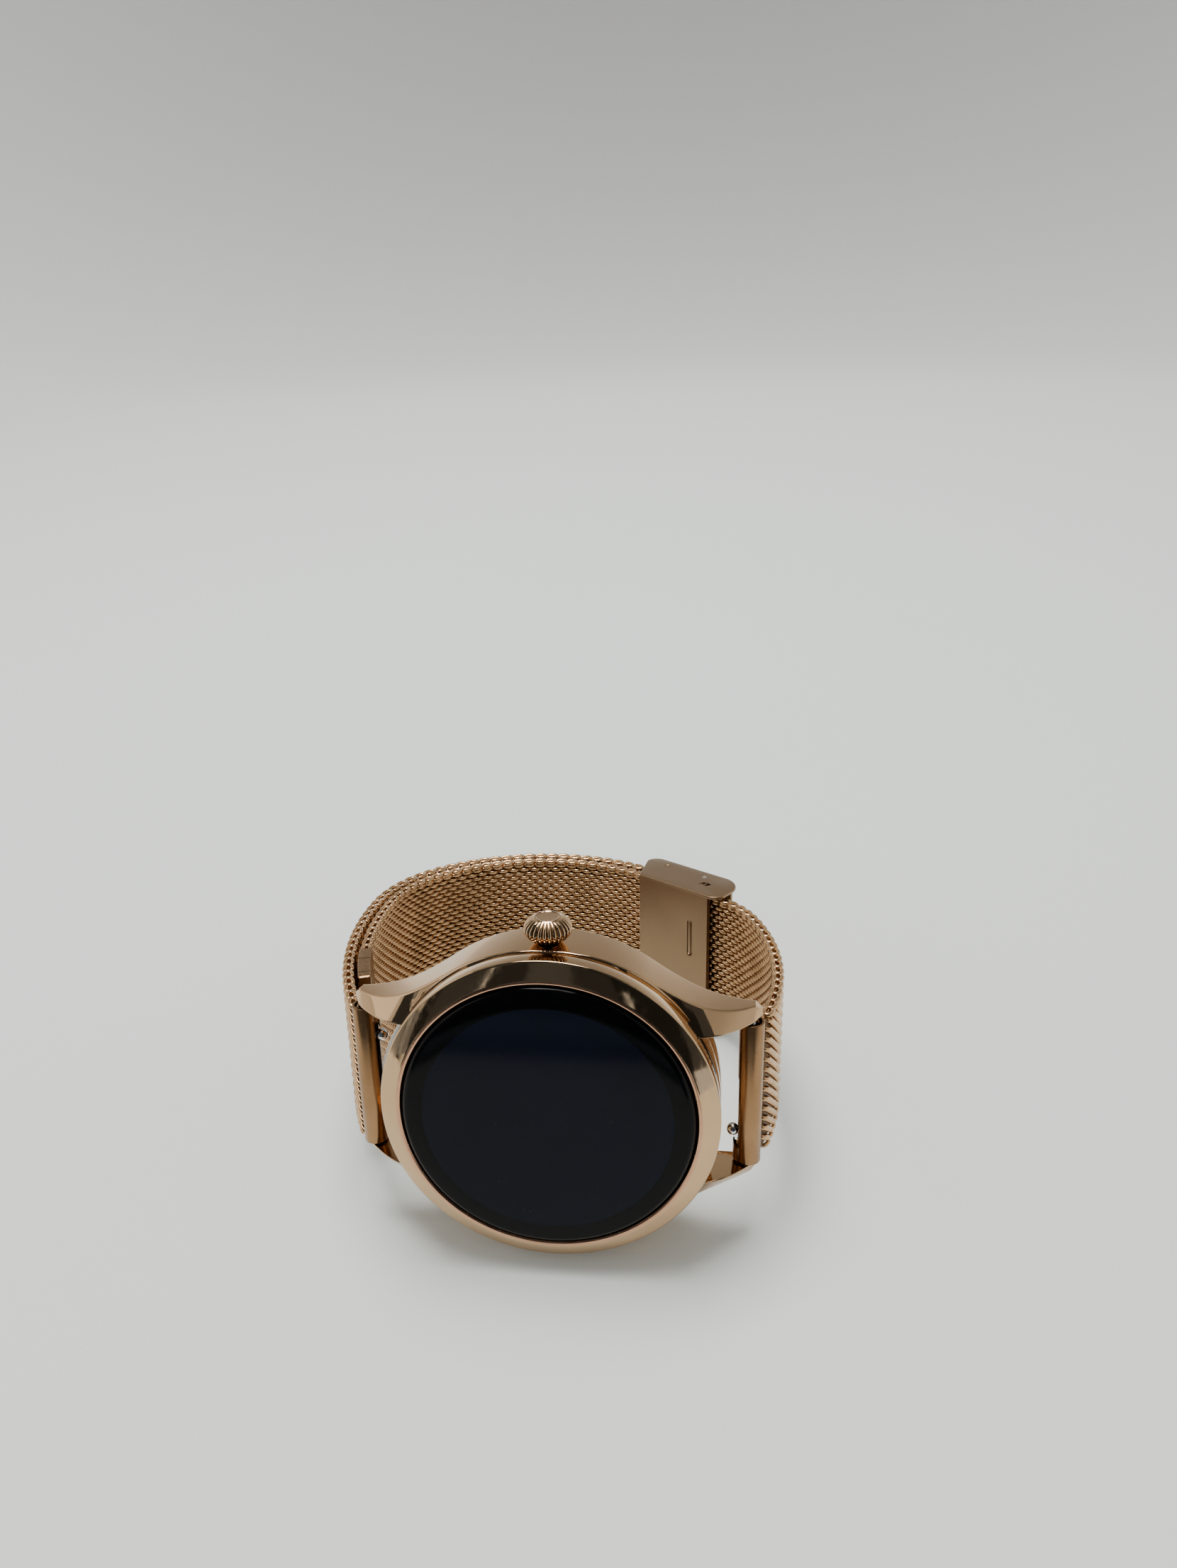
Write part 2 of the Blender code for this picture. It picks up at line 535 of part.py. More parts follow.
def make_clasp(shop):
    """The clasp channel, its flip cover and hinge pin, and the left strap's end eye with its pin."""
    place = clasp_frame()
    wall_outline = ([(-6.0, PLATE_IN)] + arc((6.0, -1.1), 1.7, -90, 0, 4)
                    + arc((4.4, 0.6), 3.3, 10, 80, 6) + [(-4.5, 3.85)]
                    + arc((-6.6, 2.1), 1.75, 90, 180, 4))
    walls = []
    for low in (-CLASP_HALF, CLASP_HALF - CLASP_WALL):
        walls.append(prism(wall_outline, low, low + CLASP_WALL))
    body = shop.keep("clasp_body", walls[0], "rose_gold_satin", place)
    upper = shop.cutter("clasp_upper_wall", walls[1], place)
    combine(body, upper, "UNION")
    plate = box((-5.9, PLATE_IN + 0.02, -CLASP_HALF + 0.1), (6.0, PLATE_OUT, CLASP_HALF - 0.1))
    combine(body, shop.cutter("clasp_inner_plate", plate, place), "UNION")
    ridge = box((2.9, PLATE_IN - 0.25, 0.0), (3.3, PLATE_IN + 0.2, 5.0))
    combine(body, shop.cutter("clasp_ridge", ridge, place), "UNION")
    bridge = box((4.5, 2.6, -CLASP_HALF + 0.1), (6.2, 3.1, CLASP_HALF - 0.1))
    combine(body, shop.cutter("clasp_bridge", bridge, place), "UNION")
    pin_holes = disc(0.5, -CLASP_HALF - 1, CLASP_HALF + 1, 16)
    pin_holes = moved(pin_holes, Matrix.Translation((*COVER_PIN, 0)))
    windows = box((2.9, -0.1, -CLASP_HALF - 1), (4.1, 0.5, CLASP_HALF + 1))
    combine(body, shop.cutter("clasp_pin_holes", pin_holes, place), "DIFFERENCE")
    combine(body, shop.cutter("clasp_windows", windows, place), "DIFFERENCE")

    hinge = place @ Vector((*COVER_PIN, 0))
    rod = disc(0.4, -CLASP_HALF + 0.05, CLASP_HALF - 0.05, 16)
    rod = moved(rod, Matrix.Translation((*COVER_PIN, 0)))
    shop.keep("cover_pin", rod, "steel", place, pivot=hinge)

    lid = prism(((-8.1, 3.2), (-7.9, 3.0), (1.7, 3.0), (1.7, 3.6), (-7.6, 3.6), (-8.1, 3.4)), -9.0, 9.0)
    cover = shop.keep("clasp_cover", lid, "rose_gold_satin", place, pivot=hinge)
    knuckle = disc(0.95, -8.9, 8.9, 20)
    knuckle = moved(knuckle, Matrix.Translation((*COVER_PIN, 0)))
    combine(cover, shop.cutter("cover_knuckle", knuckle, place), "UNION")
    bore = moved(disc(0.48, -9.3, 9.3, 16), Matrix.Translation((*COVER_PIN, 0)))
    combine(cover, shop.cutter("cover_bore", bore, place), "DIFFERENCE")

    end_pivot = hinge_point(LEFT_STATIONS[2], LAYER_GAP / 2 + MESH_THICK)
    tongue = box((-8.0, 0.65, -8.6), (-5.0, 1.2, 8.6))
    end_plate = shop.keep("strap_end_plate", tongue, "rose_gold_satin", place, pivot=end_pivot)
    eye = moved(disc(0.9, -8.6, 8.6, 20), Matrix.Translation((*END_PIN, 0)))
    combine(end_plate, shop.cutter("end_eye", eye, place), "UNION")
    eye_bore = moved(disc(0.5, -9.2, 9.2, 16), Matrix.Translation((*END_PIN, 0)))
    combine(end_plate, shop.cutter("end_eye_bore", eye_bore, place), "DIFFERENCE")
    end_rod = moved(disc(0.4, -8.9, 8.9, 16), Matrix.Translation((*END_PIN, 0)))
    shop.keep("end_pin", end_rod, "steel", place, pivot=end_pivot)


def resting_tilt():
    """How far the watch tips back: its rearmost lower strap edge and the case share the floor."""
    rear_stations = [LEFT_STATIONS[1] + i * 0.5 for i in range(90)]
    strap_y = max(seam_at(s, LAYER_GAP / 2 + MESH_THICK - GAP)[1] for s in rear_stations)
    case_y, case_z = 7.65, -CASE_R
    return math.atan2(-STRAP_HALF - case_z, strap_y - case_y)


def bounds():
    """Lowest and highest corners of all the pieces, in metres."""
    graph = bpy.context.evaluated_depsgraph_get()
    corners = []
    for piece in bpy.data.objects:
        if piece.type == "MESH" and not piece.hide_render:
            shape = piece.evaluated_get(graph)
            corners += [shape.matrix_world @ vert.co for vert in shape.data.vertices]
    low = Vector([min(corner[i] for corner in corners) for i in range(3)])
    high = Vector([max(corner[i] for corner in corners) for i in range(3)])
    return low, high


def main():
    clear_scene()
    rest = bpy.data.objects.new("resting_on_its_side", None)
    bpy.context.collection.objects.link(rest)
    rest.rotation_euler = (-resting_tilt(), 0.0, 0.0)

    shop = Workshop(make_materials(), rest)
    make_case(shop)
    make_bezel_and_display(shop)
    make_inside(shop)
    make_back(shop)
    make_crown(shop)
    make_bar(shop, -1, 1)
    make_bar(shop, 1, -1)
    make_strap(shop)
    make_clasp(shop)

    # The origin is on the table, under the middle of the whole watch
    bpy.context.view_layer.update()
    low, high = bounds()
    middle = (low + high) / 2
    rest.location = (-middle.x, -middle.y, -low.z)
    bpy.context.view_layer.update()


main()
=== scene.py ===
"""The looks of a round smartwatch with a woven-mesh strap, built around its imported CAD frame.

Lengths here are millimetres in the watch's own frame: X from the left lugs to the right lugs, Y from
the display back to the wrist, Z along the crown stem, with the origin in the middle of the bezel's
front. watch_frame() works out from the record where that frame lies in the row frame.
"""

import json
import math

import bmesh
import bpy
import numpy as np
from mathutils import Matrix, Vector


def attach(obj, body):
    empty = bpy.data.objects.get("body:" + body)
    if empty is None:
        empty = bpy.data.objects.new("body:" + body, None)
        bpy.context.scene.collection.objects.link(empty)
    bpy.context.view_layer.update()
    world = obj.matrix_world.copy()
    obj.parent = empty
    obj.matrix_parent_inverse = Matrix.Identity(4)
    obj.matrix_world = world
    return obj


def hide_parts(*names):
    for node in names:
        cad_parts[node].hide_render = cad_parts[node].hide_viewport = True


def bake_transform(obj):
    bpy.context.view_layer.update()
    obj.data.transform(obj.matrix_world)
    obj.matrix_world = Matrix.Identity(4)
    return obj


MM = 0.001

# Head
GLASS_Y = -1.2
DISPLAY_R = 13.96            # the part of the glass with the display under it
BEZEL_R = 19.0
CASE_R = 19.1
CASE_BORE_R = 16.7
CASE_REAR_Y = 8.0
BOW_START = 11.0             # how far from the middle the case's round flank turns into a lug
BOW_EASE = (0.26, 5)         # size and steps of the eased edges along a bow
CROWN_Y = 4.3
CROWN_FLUTES = 28
LUG_GAP_HALF = 9.35
LUG_END = (22.55, 10.9)      # where the lug's flank meets its end facet
LUG_TIP = (23.35, 10.15)
BAR_X = 22.2
BAR_Y = 6.5
TUBE_R = 1.4
TUBE_HALF = 9.1

# Strap: the seam between its two layers leaves the left lug and turns clockwise round the wrist
SEAM_START = (-22.15, 6.35)
SEAM_HEADING = 119.0
CLASP_RUN = 13.8
SEAM = ((49.0, 34.0), (17.0, 45.3), (24.6, 74.5), (None, CLASP_RUN), (13.0, 32.3), (36.8, 44.4))
LAYER = 0.95                 # middle of a layer, from the seam
STRAP_EDGE_Z = 9.0

# Clasp, in its own frame: u along the seam, n outwards, and Z across the strap
CLASP_HALF = 9.75
CLASP_WALL = 0.5
PLATE_IN = -2.8
PLATE_OUT = -2.1
COVER_PIN = (1.9, 2.2)
FRONT_DIMPLE = (-4.7, 2.2)
COVER_HALF = 8.95

# Weave: coils of wire across the strap, each hooked through its neighbours
COIL_STEP = 0.84
COIL_HALF_WIDTH = 0.87
COIL_HALF_THICK = 0.50
WIRE_R = 0.28
OUTER_SLANT = 0.9            # how much more the wire slants on the strap's outer face than on its inner
WIRE_SIDES = 6
STEPS_PER_TURN = 12
COIL_TURNS = 13 + 1 / 3
HOOK_Z = STRAP_EDGE_Z - WIRE_R
# The core is a dark sheet of painted shade inside the coils.
CORE_HALF = 0.16             # half the thickness and half the width of the flat core inside the coils
CORE_Z = 8.3
DOME_RISE = 0.6              # of the wire's radius, as is the next
DOME_WIDTH = 0.7
HOOK_TURN = 120.0            # degrees of the flat hook that ends every second coil

FACING_BACK = Matrix.Rotation(math.radians(-90), 4, "X")

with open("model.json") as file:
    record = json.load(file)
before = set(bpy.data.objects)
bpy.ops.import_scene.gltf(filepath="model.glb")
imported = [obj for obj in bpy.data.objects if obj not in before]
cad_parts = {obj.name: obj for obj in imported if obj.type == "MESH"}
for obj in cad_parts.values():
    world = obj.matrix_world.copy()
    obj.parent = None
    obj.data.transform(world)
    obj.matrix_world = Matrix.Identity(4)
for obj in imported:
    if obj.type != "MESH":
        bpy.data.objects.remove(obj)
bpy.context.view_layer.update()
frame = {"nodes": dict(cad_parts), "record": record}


def watch_frame(record):
    """The watch's own frame, in millimetres, as a matrix into the row frame."""
    mounts = {mount["name"]: mount for mount in record["mounts"]}
    joints = {joint["name"]: joint for joint in record["behaviour"]["joints"]}
    back = -Vector(mounts["display_face"]["axis"])
    up = Vector(joints["band_open"]["axis"])
    right = back.cross(up).normalized()
    origin = Vector(mounts["display_face"]["pos_m"]) - back * (GLASS_Y * MM)
    turn = Matrix((right, back, up)).transposed().to_4x4()
    return Matrix.Translation(origin) @ turn @ Matrix.Scale(MM, 4)


WATCH = watch_frame(frame["record"])


def in_row(point):
    """A point of the watch's own frame, in the row frame."""
    return WATCH @ Vector(point)


# ---------------------------------------------------------------- materials

class Shader:
    """A Principled material whose nodes are added one by one."""

    def __init__(self, name, colour, roughness, metallic=1.0, **values):
        self.material = bpy.data.materials.new(name)
        self.material.use_nodes = True
        self.tree = self.material.node_tree
        self.main = self.tree.nodes["Principled BSDF"]
        self.main.inputs["Base Color"].default_value = (*colour, 1.0)
        self.main.inputs["Roughness"].default_value = roughness
        self.main.inputs["Metallic"].default_value = metallic
        for socket, value in values.items():
            self.main.inputs[socket.replace("_", " ")].default_value = value
        self.place = self.node("ShaderNodeTexCoord").outputs["Object"]

    def node(self, kind, **inputs):
        made = self.tree.nodes.new(kind)
        for socket, value in inputs.items():
            if isinstance(value, bpy.types.NodeSocket):
                self.link(value, made.inputs[socket])
            else:
                made.inputs[socket].default_value = value
        return made

    def link(self, output, target):
        self.tree.links.new(output, target)

    def noise(self, scale, detail=2.0, stretch=None):
        """A noise value from 0 to 1; stretch squeezes the coordinates, as for brushing."""
        place = self.place
        if stretch is not None:
            mapping = self.node("ShaderNodeMapping", Vector=place, Scale=stretch)
            place = mapping.outputs["Vector"]
        return self.node("ShaderNodeTexNoise", Vector=place, Scale=scale, Detail=detail).outputs["Fac"]

    def rings(self, scale):
        """A noise value that is the same all round the watch's axis, as for turned brushing."""
        centre = in_row((0.0, 0.0, 0.0))
        axis = WATCH.to_3x3().normalized() @ Vector((0.0, 1.0, 0.0))
        place = self.node("ShaderNodeVectorMath", Vector=self.place)
        place.operation = "SUBTRACT"
        place.inputs[1].default_value = centre
        across = self.node("ShaderNodeVectorMath", Vector=place.outputs["Vector"])
        across.operation = "CROSS_PRODUCT"
        across.inputs[1].default_value = axis
        radius = self.node("ShaderNodeVectorMath", Vector=across.outputs["Vector"])
        radius.operation = "LENGTH"
        made = self.node("ShaderNodeTexNoise", Scale=scale, Detail=2.0)
        made.noise_dimensions = "1D"
        self.link(radius.outputs["Value"], made.inputs["W"])
        return made.outputs["Fac"]

    def ramp(self, value, low, high, socket, from_low=0.3, from_high=0.7):
        """Drives a number socket between two values."""
        mapped = self.node("ShaderNodeMapRange", Value=value)
        mapped.inputs["From Min"].default_value = from_low
        mapped.inputs["From Max"].default_value = from_high
        mapped.inputs["To Min"].default_value = low
        mapped.inputs["To Max"].default_value = high
        self.link(mapped.outputs["Result"], self.main.inputs[socket])

    def tint(self, value, dark, light, low=0.3, high=0.7):
        """Drives the base colour between two colours."""
        ramp = self.node("ShaderNodeValToRGB", Fac=value)
        ramp.color_ramp.elements[0].position = low
        ramp.color_ramp.elements[0].color = (*dark, 1.0)
        ramp.color_ramp.elements[1].position = high
        ramp.color_ramp.elements[1].color = (*light, 1.0)
        self.link(ramp.outputs["Color"], self.main.inputs["Base Color"])

    def bump(self, value, strength, distance):
        made = self.node("ShaderNodeBump", Height=value, Strength=strength, Distance=distance)
        self.link(made.outputs["Normal"], self.main.inputs["Normal"])


def polished_gold():
    """Polished plating with faint hairlines and a little unevenness in the shine."""
    made = Shader("rose_gold_polished", (0.62, 0.40, 0.225), 0.06)
    smudge = made.noise(260.0, 3.0)
    made.ramp(smudge, 0.04, 0.09, "Roughness")
    made.tint(made.noise(90.0, 2.0), (0.56, 0.355, 0.195), (0.615, 0.40, 0.225))
    made.bump(made.noise(900.0, 4.0), 0.03, 0.00003)
    return made.material


def scratched_gold():
    """The bezel's face: polished, with a haze of fine wiping marks."""
    made = Shader("rose_gold_bezel", (0.60, 0.40, 0.225), 0.05)
    marks = made.noise(1500.0, 5.0, (1.0, 1.0, 0.22))
    made.ramp(marks, 0.025, 0.15, "Roughness")
    made.tint(made.noise(120.0, 3.0), (0.53, 0.35, 0.195), (0.585, 0.39, 0.22))
    made.bump(marks, 0.12, 0.00003)
    return made.material


def lip_painted_reflection_gold():
    """The rolled lip round the glass, coloured a deeper copper than the bezel's plating: a painted warm
    reflection, for the gold that the lip's curve reflects in itself.
    """
    # Painted reflection: a deeper, redder copper than the bezel's plating.
    made = Shader("rose_gold_lip_painted_reflection", (0.56, 0.31, 0.19), 0.2)
    made.tint(made.noise(300.0, 2.0), (0.52, 0.285, 0.17), (0.60, 0.34, 0.21))
    made.ramp(made.noise(900.0, 2.0), 0.15, 0.28, "Roughness")
    return made.material


def satin_gold():
    """Satin plating on the tubes, the strap's tip and its end plate, brushed across the strap. Its base
    is far darker than the polished plating's: partly the duller, dirtier satin, partly painted shade
    for self-shadow and the dark room it reflects.
    """
    # Partly painted shade: a base much darker than the polished plating's.
    made = Shader("rose_gold_satin", (0.36, 0.205, 0.10), 0.30)
    brushing = made.noise(700.0, 4.0, (1.0, 1.0, 0.06))
    made.ramp(brushing, 0.20, 0.36, "Roughness")
    made.tint(made.noise(160.0, 3.0), (0.275, 0.155, 0.075), (0.35, 0.205, 0.10))
    made.bump(brushing, 0.12, 0.00004)
    return made.material


def clasp_gold():
    """The clasp's sheet: a duller satin with finer brushing, on a base darker still: partly the duller
    satin, partly painted shade for the dark room its face reflects.
    """
    # Partly painted shade: the darkest base of the gold finishes.
    made = Shader("rose_gold_brushed", (0.28, 0.182, 0.105), 0.38)
    brushing = made.noise(2600.0, 3.0, (1.0, 1.0, 0.04))
    made.ramp(brushing, 0.34, 0.42, "Roughness")
    made.tint(made.noise(60.0, 2.0), (0.27, 0.175, 0.10), (0.29, 0.19, 0.11))
    made.bump(brushing, 0.15, 0.00004)
    return made.material


def wire_gold():
    """The woven wire: plating that varies a little in colour and shine along the strap."""
    made = Shader("woven_wire_gold", (0.58, 0.35, 0.17), 0.20)
    made.tint(made.noise(220.0, 3.0), (0.51, 0.305, 0.148), (0.71, 0.44, 0.232))
    made.ramp(made.noise(700.0, 2.0), 0.17, 0.32, "Roughness")
    return made.material


def core_painted_shade():
    """Painted shade: a dark sheet that stands for the shaded inside of the weave."""
    made = Shader("woven_core_painted_shade", (0.18, 0.11, 0.058), 0.5)
    made.ramp(made.noise(1500.0, 2.0), 0.45, 0.6, "Roughness")
    return made.material


def steel():
    """Satin steel, brushed in circles round the watch's axis."""
    made = Shader("satin_steel", (0.56, 0.555, 0.55), 0.3)
    brushing = made.rings(9000.0)
    made.ramp(brushing, 0.27, 0.33, "Roughness")
    made.tint(brushing, (0.53, 0.525, 0.52), (0.59, 0.585, 0.58))
    made.bump(brushing, 0.12, 0.00002)
    return made.material


def bright_steel():
    """Polished steel, for the levers and the spring bars."""
    made = Shader("bright_steel", (0.66, 0.66, 0.67), 0.12)
    made.ramp(made.noise(800.0), 0.08, 0.18, "Roughness")
    return made.material


def glass_black(name, dark, light):
    """Black glass, seen with what lies printed under it; a few specks of dust lie on it."""
    made = Shader(name, light, 0.04, 0.0, IOR=1.5, Specular_IOR_Level=0.1)
    made.tint(made.noise(60.0, 2.0), dark, light)
    specks = made.noise(1400.0, 1.0)
    made.ramp(specks, 0.10, 0.35, "Roughness", 0.72, 0.80)
    return made.material


def plain(name, colour, roughness, metallic=0.0, grain=600.0):
    """A plain finish with a fine grain in its colour and shine."""
    made = Shader(name, colour, roughness, metallic)
    value = made.noise(grain, 3.0)
    darker = tuple(0.8 * c for c in colour)
    lighter = tuple(min(1.0, 1.15 * c) for c in colour)
    made.tint(value, darker, lighter)
    made.ramp(value, 0.85 * roughness, min(1.0, 1.2 * roughness), "Roughness")
    made.bump(value, 0.1, 0.00005)
    return made.material


MATERIALS = {
    "polished": polished_gold(),
    "bezel": scratched_gold(),
    "lip": lip_painted_reflection_gold(),
    "satin": satin_gold(),
    "clasp": clasp_gold(),
    "wire": wire_gold(),
    "wire_core": core_painted_shade(),
    "steel": steel(),
    "bright_steel": bright_steel(),
    "glass_border": glass_black("glass_border", (0.0008, 0.0009, 0.0009), (0.0012, 0.0013, 0.0013)),
    "glass_display": glass_black("glass_display", (0.0018, 0.0028, 0.0070), (0.0026, 0.0040, 0.0100)),
    "board": plain("board_green", (0.02, 0.10, 0.05), 0.45),
    "battery": plain("battery_foil", (0.55, 0.56, 0.58), 0.35, 1.0),
    "plastic": plain("black_plastic", (0.02, 0.02, 0.02), 0.45),
    "rubber": plain("seal_rubber", (0.015, 0.015, 0.015), 0.7),
    "contact": plain("contact_gold", (0.85, 0.62, 0.25), 0.18, 1.0),
}


# ---------------------------------------------------------------- mesh helpers

def finish_piece(name, builder, material, sharp=30.0, place=None):
    """Turns a bmesh in watch millimetres into an object in the row frame."""
    if place is not None:
        bmesh.ops.transform(builder, matrix=place, verts=builder.verts)
    bmesh.ops.transform(builder, matrix=WATCH, verts=builder.verts)
    bmesh.ops.recalc_face_normals(builder, faces=builder.faces)
    mesh = bpy.data.meshes.new(name)
    builder.to_mesh(mesh)
    builder.free()
    mesh.shade_smooth()
    mesh.set_sharp_from_angle(angle=math.radians(sharp))
    piece = bpy.data.objects.new(name, mesh)
    bpy.context.scene.collection.objects.link(piece)
    mesh.materials.append(MATERIALS[material])
    return piece


def loft(sections, closed=False, capped=True):
    """Joins rows of points of the same count; closed joins the last row to the first."""
    solid = bmesh.new()
    rows = [[solid.verts.new(point) for point in section] for section in sections]
    pairs = list(zip(rows, rows[1:]))
    if closed:
        pairs.append((rows[-1], rows[0]))
    for first, second in pairs:
        for i in range(len(first)):
            j = (i + 1) % len(first)
            solid.faces.new((first[i], first[j], second[j], second[i]))
    if capped and not closed:
        solid.faces.new(rows[0])
        solid.faces.new(rows[-1])
    return solid


def arc(centre, radius, start, end, steps):
    """Points on an arc, from start to end degrees."""
    points = []
    for i in range(steps + 1):
        angle = math.radians(start + (end - start) * i / steps)
        points.append((centre[0] + radius * math.cos(angle), centre[1] + radius * math.sin(angle)))
    return points


def rounded(outline, radius, steps=3):
    """An open or closed outline with each corner turned into a small arc-like curve."""
    points = []
    count = len(outline)
    for i in range(count):
        here = Vector(outline[i])
        before = Vector(outline[i - 1])
        after = Vector(outline[(i + 1) % count])
        cut_in = min(radius, 0.45 * (before - here).length)
        cut_out = min(radius, 0.45 * (after - here).length)
        start = here + (before - here).normalized() * cut_in
        end = here + (after - here).normalized() * cut_out
        for k in range(steps + 1):
            t = k / steps
            points.append((1 - t) ** 2 * start + 2 * t * (1 - t) * here + t ** 2 * end)
    return points


def turned(profile, sides=128, radius=0.0, steps=3):
    """A ring turned about Z from a closed (radius, height) profile, with eased corners."""
    outline = rounded(profile, radius, steps) if radius else [Vector(p) for p in profile]
    sections = []
    for i in range(sides):
        angle = 2 * math.pi * i / sides
        sections.append([(p.x * math.cos(angle), p.x * math.sin(angle), p.y) for p in outline])
    return loft(sections, closed=True)


def turned_solid(profile, sides=64):
    """A solid turned about Z from a profile that runs from axis to axis."""
    rows = []
    for r, h in profile[1:-1]:
        row = []
        for i in range(sides):
            angle = 2 * math.pi * i / sides
            row.append((r * math.cos(angle), r * math.sin(angle), h))
        rows.append(row)
    solid = loft(rows, capped=False)
    solid.verts.ensure_lookup_table()
    for first, height in ((0, profile[0][1]), ((len(rows) - 1) * sides, profile[-1][1])):
        pole = solid.verts.new((0, 0, height))
        solid.verts.ensure_lookup_table()
        for i in range(sides):
            j = (i + 1) % sides
            solid.faces.new((solid.verts[first + i], solid.verts[first + j], pole))
    return solid


def prism(outline, low, high, bevel=0.0, segments=3):
    """An outline of (x, y) points extruded along Z, with eased edges."""
    solid = bmesh.new()
    bottom = [solid.verts.new((x, y, low)) for x, y in outline]
    face = solid.faces.new(bottom)
    extruded = bmesh.ops.extrude_face_region(solid, geom=[face])
    top = [item for item in extruded["geom"] if isinstance(item, bmesh.types.BMVert)]
    bmesh.ops.translate(solid, vec=(0, 0, high - low), verts=top)
    bmesh.ops.recalc_face_normals(solid, faces=solid.faces)
    if bevel:
        rims = [edge for edge in solid.edges if edge.calc_face_angle(0) > math.radians(35)]
        bmesh.ops.bevel(solid, geom=rims, offset=bevel, segments=segments, profile=0.5,
                        affect="EDGES", clamp_overlap=True)
    return solid


def box(low, high, bevel=0.0, segments=3):
    """A block between two corners, with eased edges."""
    (x0, y0, z0), (x1, y1, z1) = low, high
    return prism(((x0, y0), (x1, y0), (x1, y1), (x0, y1)), z0, z1, bevel, segments)


def moved(builder, place):
    """The same bmesh, moved by a matrix."""
    bmesh.ops.transform(builder, matrix=place, verts=builder.verts)
    return builder


def combine(piece, builder, operation):
    """Joins or cuts a piece with another solid, and keeps only the result."""
    tool = finish_piece("tool", builder, "polished")
    step = piece.modifiers.new("combine", "BOOLEAN")
    step.operation = operation
    step.solver = "EXACT"
    step.object = tool
    bpy.context.view_layer.update()
    graph = bpy.context.evaluated_depsgraph_get()
    result = bpy.data.meshes.new_from_object(piece.evaluated_get(graph))
    piece.modifiers.clear()
    piece.data = result
    bpy.data.objects.remove(tool, do_unlink=True)
    return piece


def resharpen(piece, angle=30.0):
    """Shades a piece smooth again after booleans, with edges sharp beyond an angle in degrees."""
    piece.data.shade_smooth()
    piece.data.set_sharp_from_angle(angle=math.radians(angle))
    return piece


# ---------------------------------------------------------------- the seam

def seam_points(stations, outwards):
    """Points (x, y) at distances along the seam and offsets from it, as arrays."""
    stations = np.asarray(stations, float)
    outwards = np.broadcast_to(np.asarray(outwards, float), stations.shape)
    x = np.zeros_like(stations)
    y = np.zeros_like(stations)
    heading = np.zeros_like(stations)
    start_x, start_y = SEAM_START
    angle = math.radians(SEAM_HEADING)
    begin = 0.0
    for number, (radius, amount) in enumerate(SEAM):
        length = amount if radius is None else radius * math.radians(amount)
        first, last = number == 0, number == len(SEAM) - 1
        chosen = ((stations >= begin) | first) & ((stations < begin + length) | last)
        run = stations[chosen] - begin
        if radius is None:
            x[chosen] = start_x + run * math.cos(angle)
            y[chosen] = start_y + run * math.sin(angle)
            heading[chosen] = angle
            start_x += length * math.cos(angle)
            start_y += length * math.sin(angle)
        else:
            centre_x = start_x + radius * math.sin(angle)
            centre_y = start_y - radius * math.cos(angle)
            turned_to = angle - run / radius
            x[chosen] = centre_x - radius * np.sin(turned_to)
            y[chosen] = centre_y + radius * np.cos(turned_to)
            heading[chosen] = turned_to
            angle -= length / radius
            start_x = centre_x - radius * math.sin(angle)
            start_y = centre_y + radius * math.cos(angle)
        begin += length
    return x - outwards * np.sin(heading), y + outwards * np.cos(heading), heading


def seam_place(station, outwards=0.0):
    """A frame on the seam: its X along the seam, Y outwards, Z across the strap."""
    x, y, heading = (float(v[0]) for v in seam_points([station], [outwards]))
    return Matrix.Translation((x, y, 0.0)) @ Matrix.Rotation(heading, 4, "Z")


def on_seam(station, outwards=0.0):
    """A point on the seam, in the row frame."""
    return in_row(seam_place(station, outwards).translation)


CLASP_MIDDLE = sum(radius * math.radians(amount) for radius, amount in SEAM[:3]) + CLASP_RUN / 2
CLASP = seam_place(CLASP_MIDDLE)


# ---------------------------------------------------------------- woven mesh

def falling(turn):
    """Turns of pitch the wire has dropped by at an angle, in degrees, round its coil."""
    angle = np.radians(turn)
    return (angle + OUTER_SLANT * (1 - np.cos(angle))) / (2 * np.pi)


def coil_paths(first, last, side):
    """Centre lines of the coils from one number to another, as one array per coil.

    A coil is a flattened helix across the strap, which slants on the outer face and runs nearly
    straight on the inner one. Every second coil ends in a hook that lies flat along the strap's
    edge, and the coils between end half a turn lower.
    """
    pitch = 2 * HOOK_Z / COIL_TURNS
    full = COIL_TURNS * 360.0
    inset = 2 * WIRE_R + 0.03
    coils = []
    for number in range(first, last + 1):
        hooked = number % 2 == 0
        if hooked:
            turn = np.arange(-HOOK_TURN, full + 3 * HOOK_TURN + 1e-6, 360.0 / STEPS_PER_TURN)
            fallen = falling(turn) - falling(HOOK_TURN)
            z = HOOK_Z - pitch * np.clip(fallen, 0.0, COIL_TURNS)
        else:
            turn = np.arange(-180.0, full + 360.0, 360.0 / STEPS_PER_TURN)
            z = HOOK_Z - pitch * (falling(turn) - falling(HOOK_TURN) + 0.5)
            inside = np.abs(z) <= HOOK_Z - inset
            turn, z = turn[inside], z[inside]
        angle = np.radians(turn)
        along = number * COIL_STEP + COIL_HALF_WIDTH * np.cos(angle)
        away = side * LAYER + COIL_HALF_THICK * np.sin(angle)
        x, y, _ = seam_points(along, away)
        middle = np.full_like(along, number * COIL_STEP)
        cx, cy, _ = seam_points(middle, side * LAYER)
        coils.append((np.stack((x, y, z), 1), np.stack((cx, cy, z), 1)))
    return coils


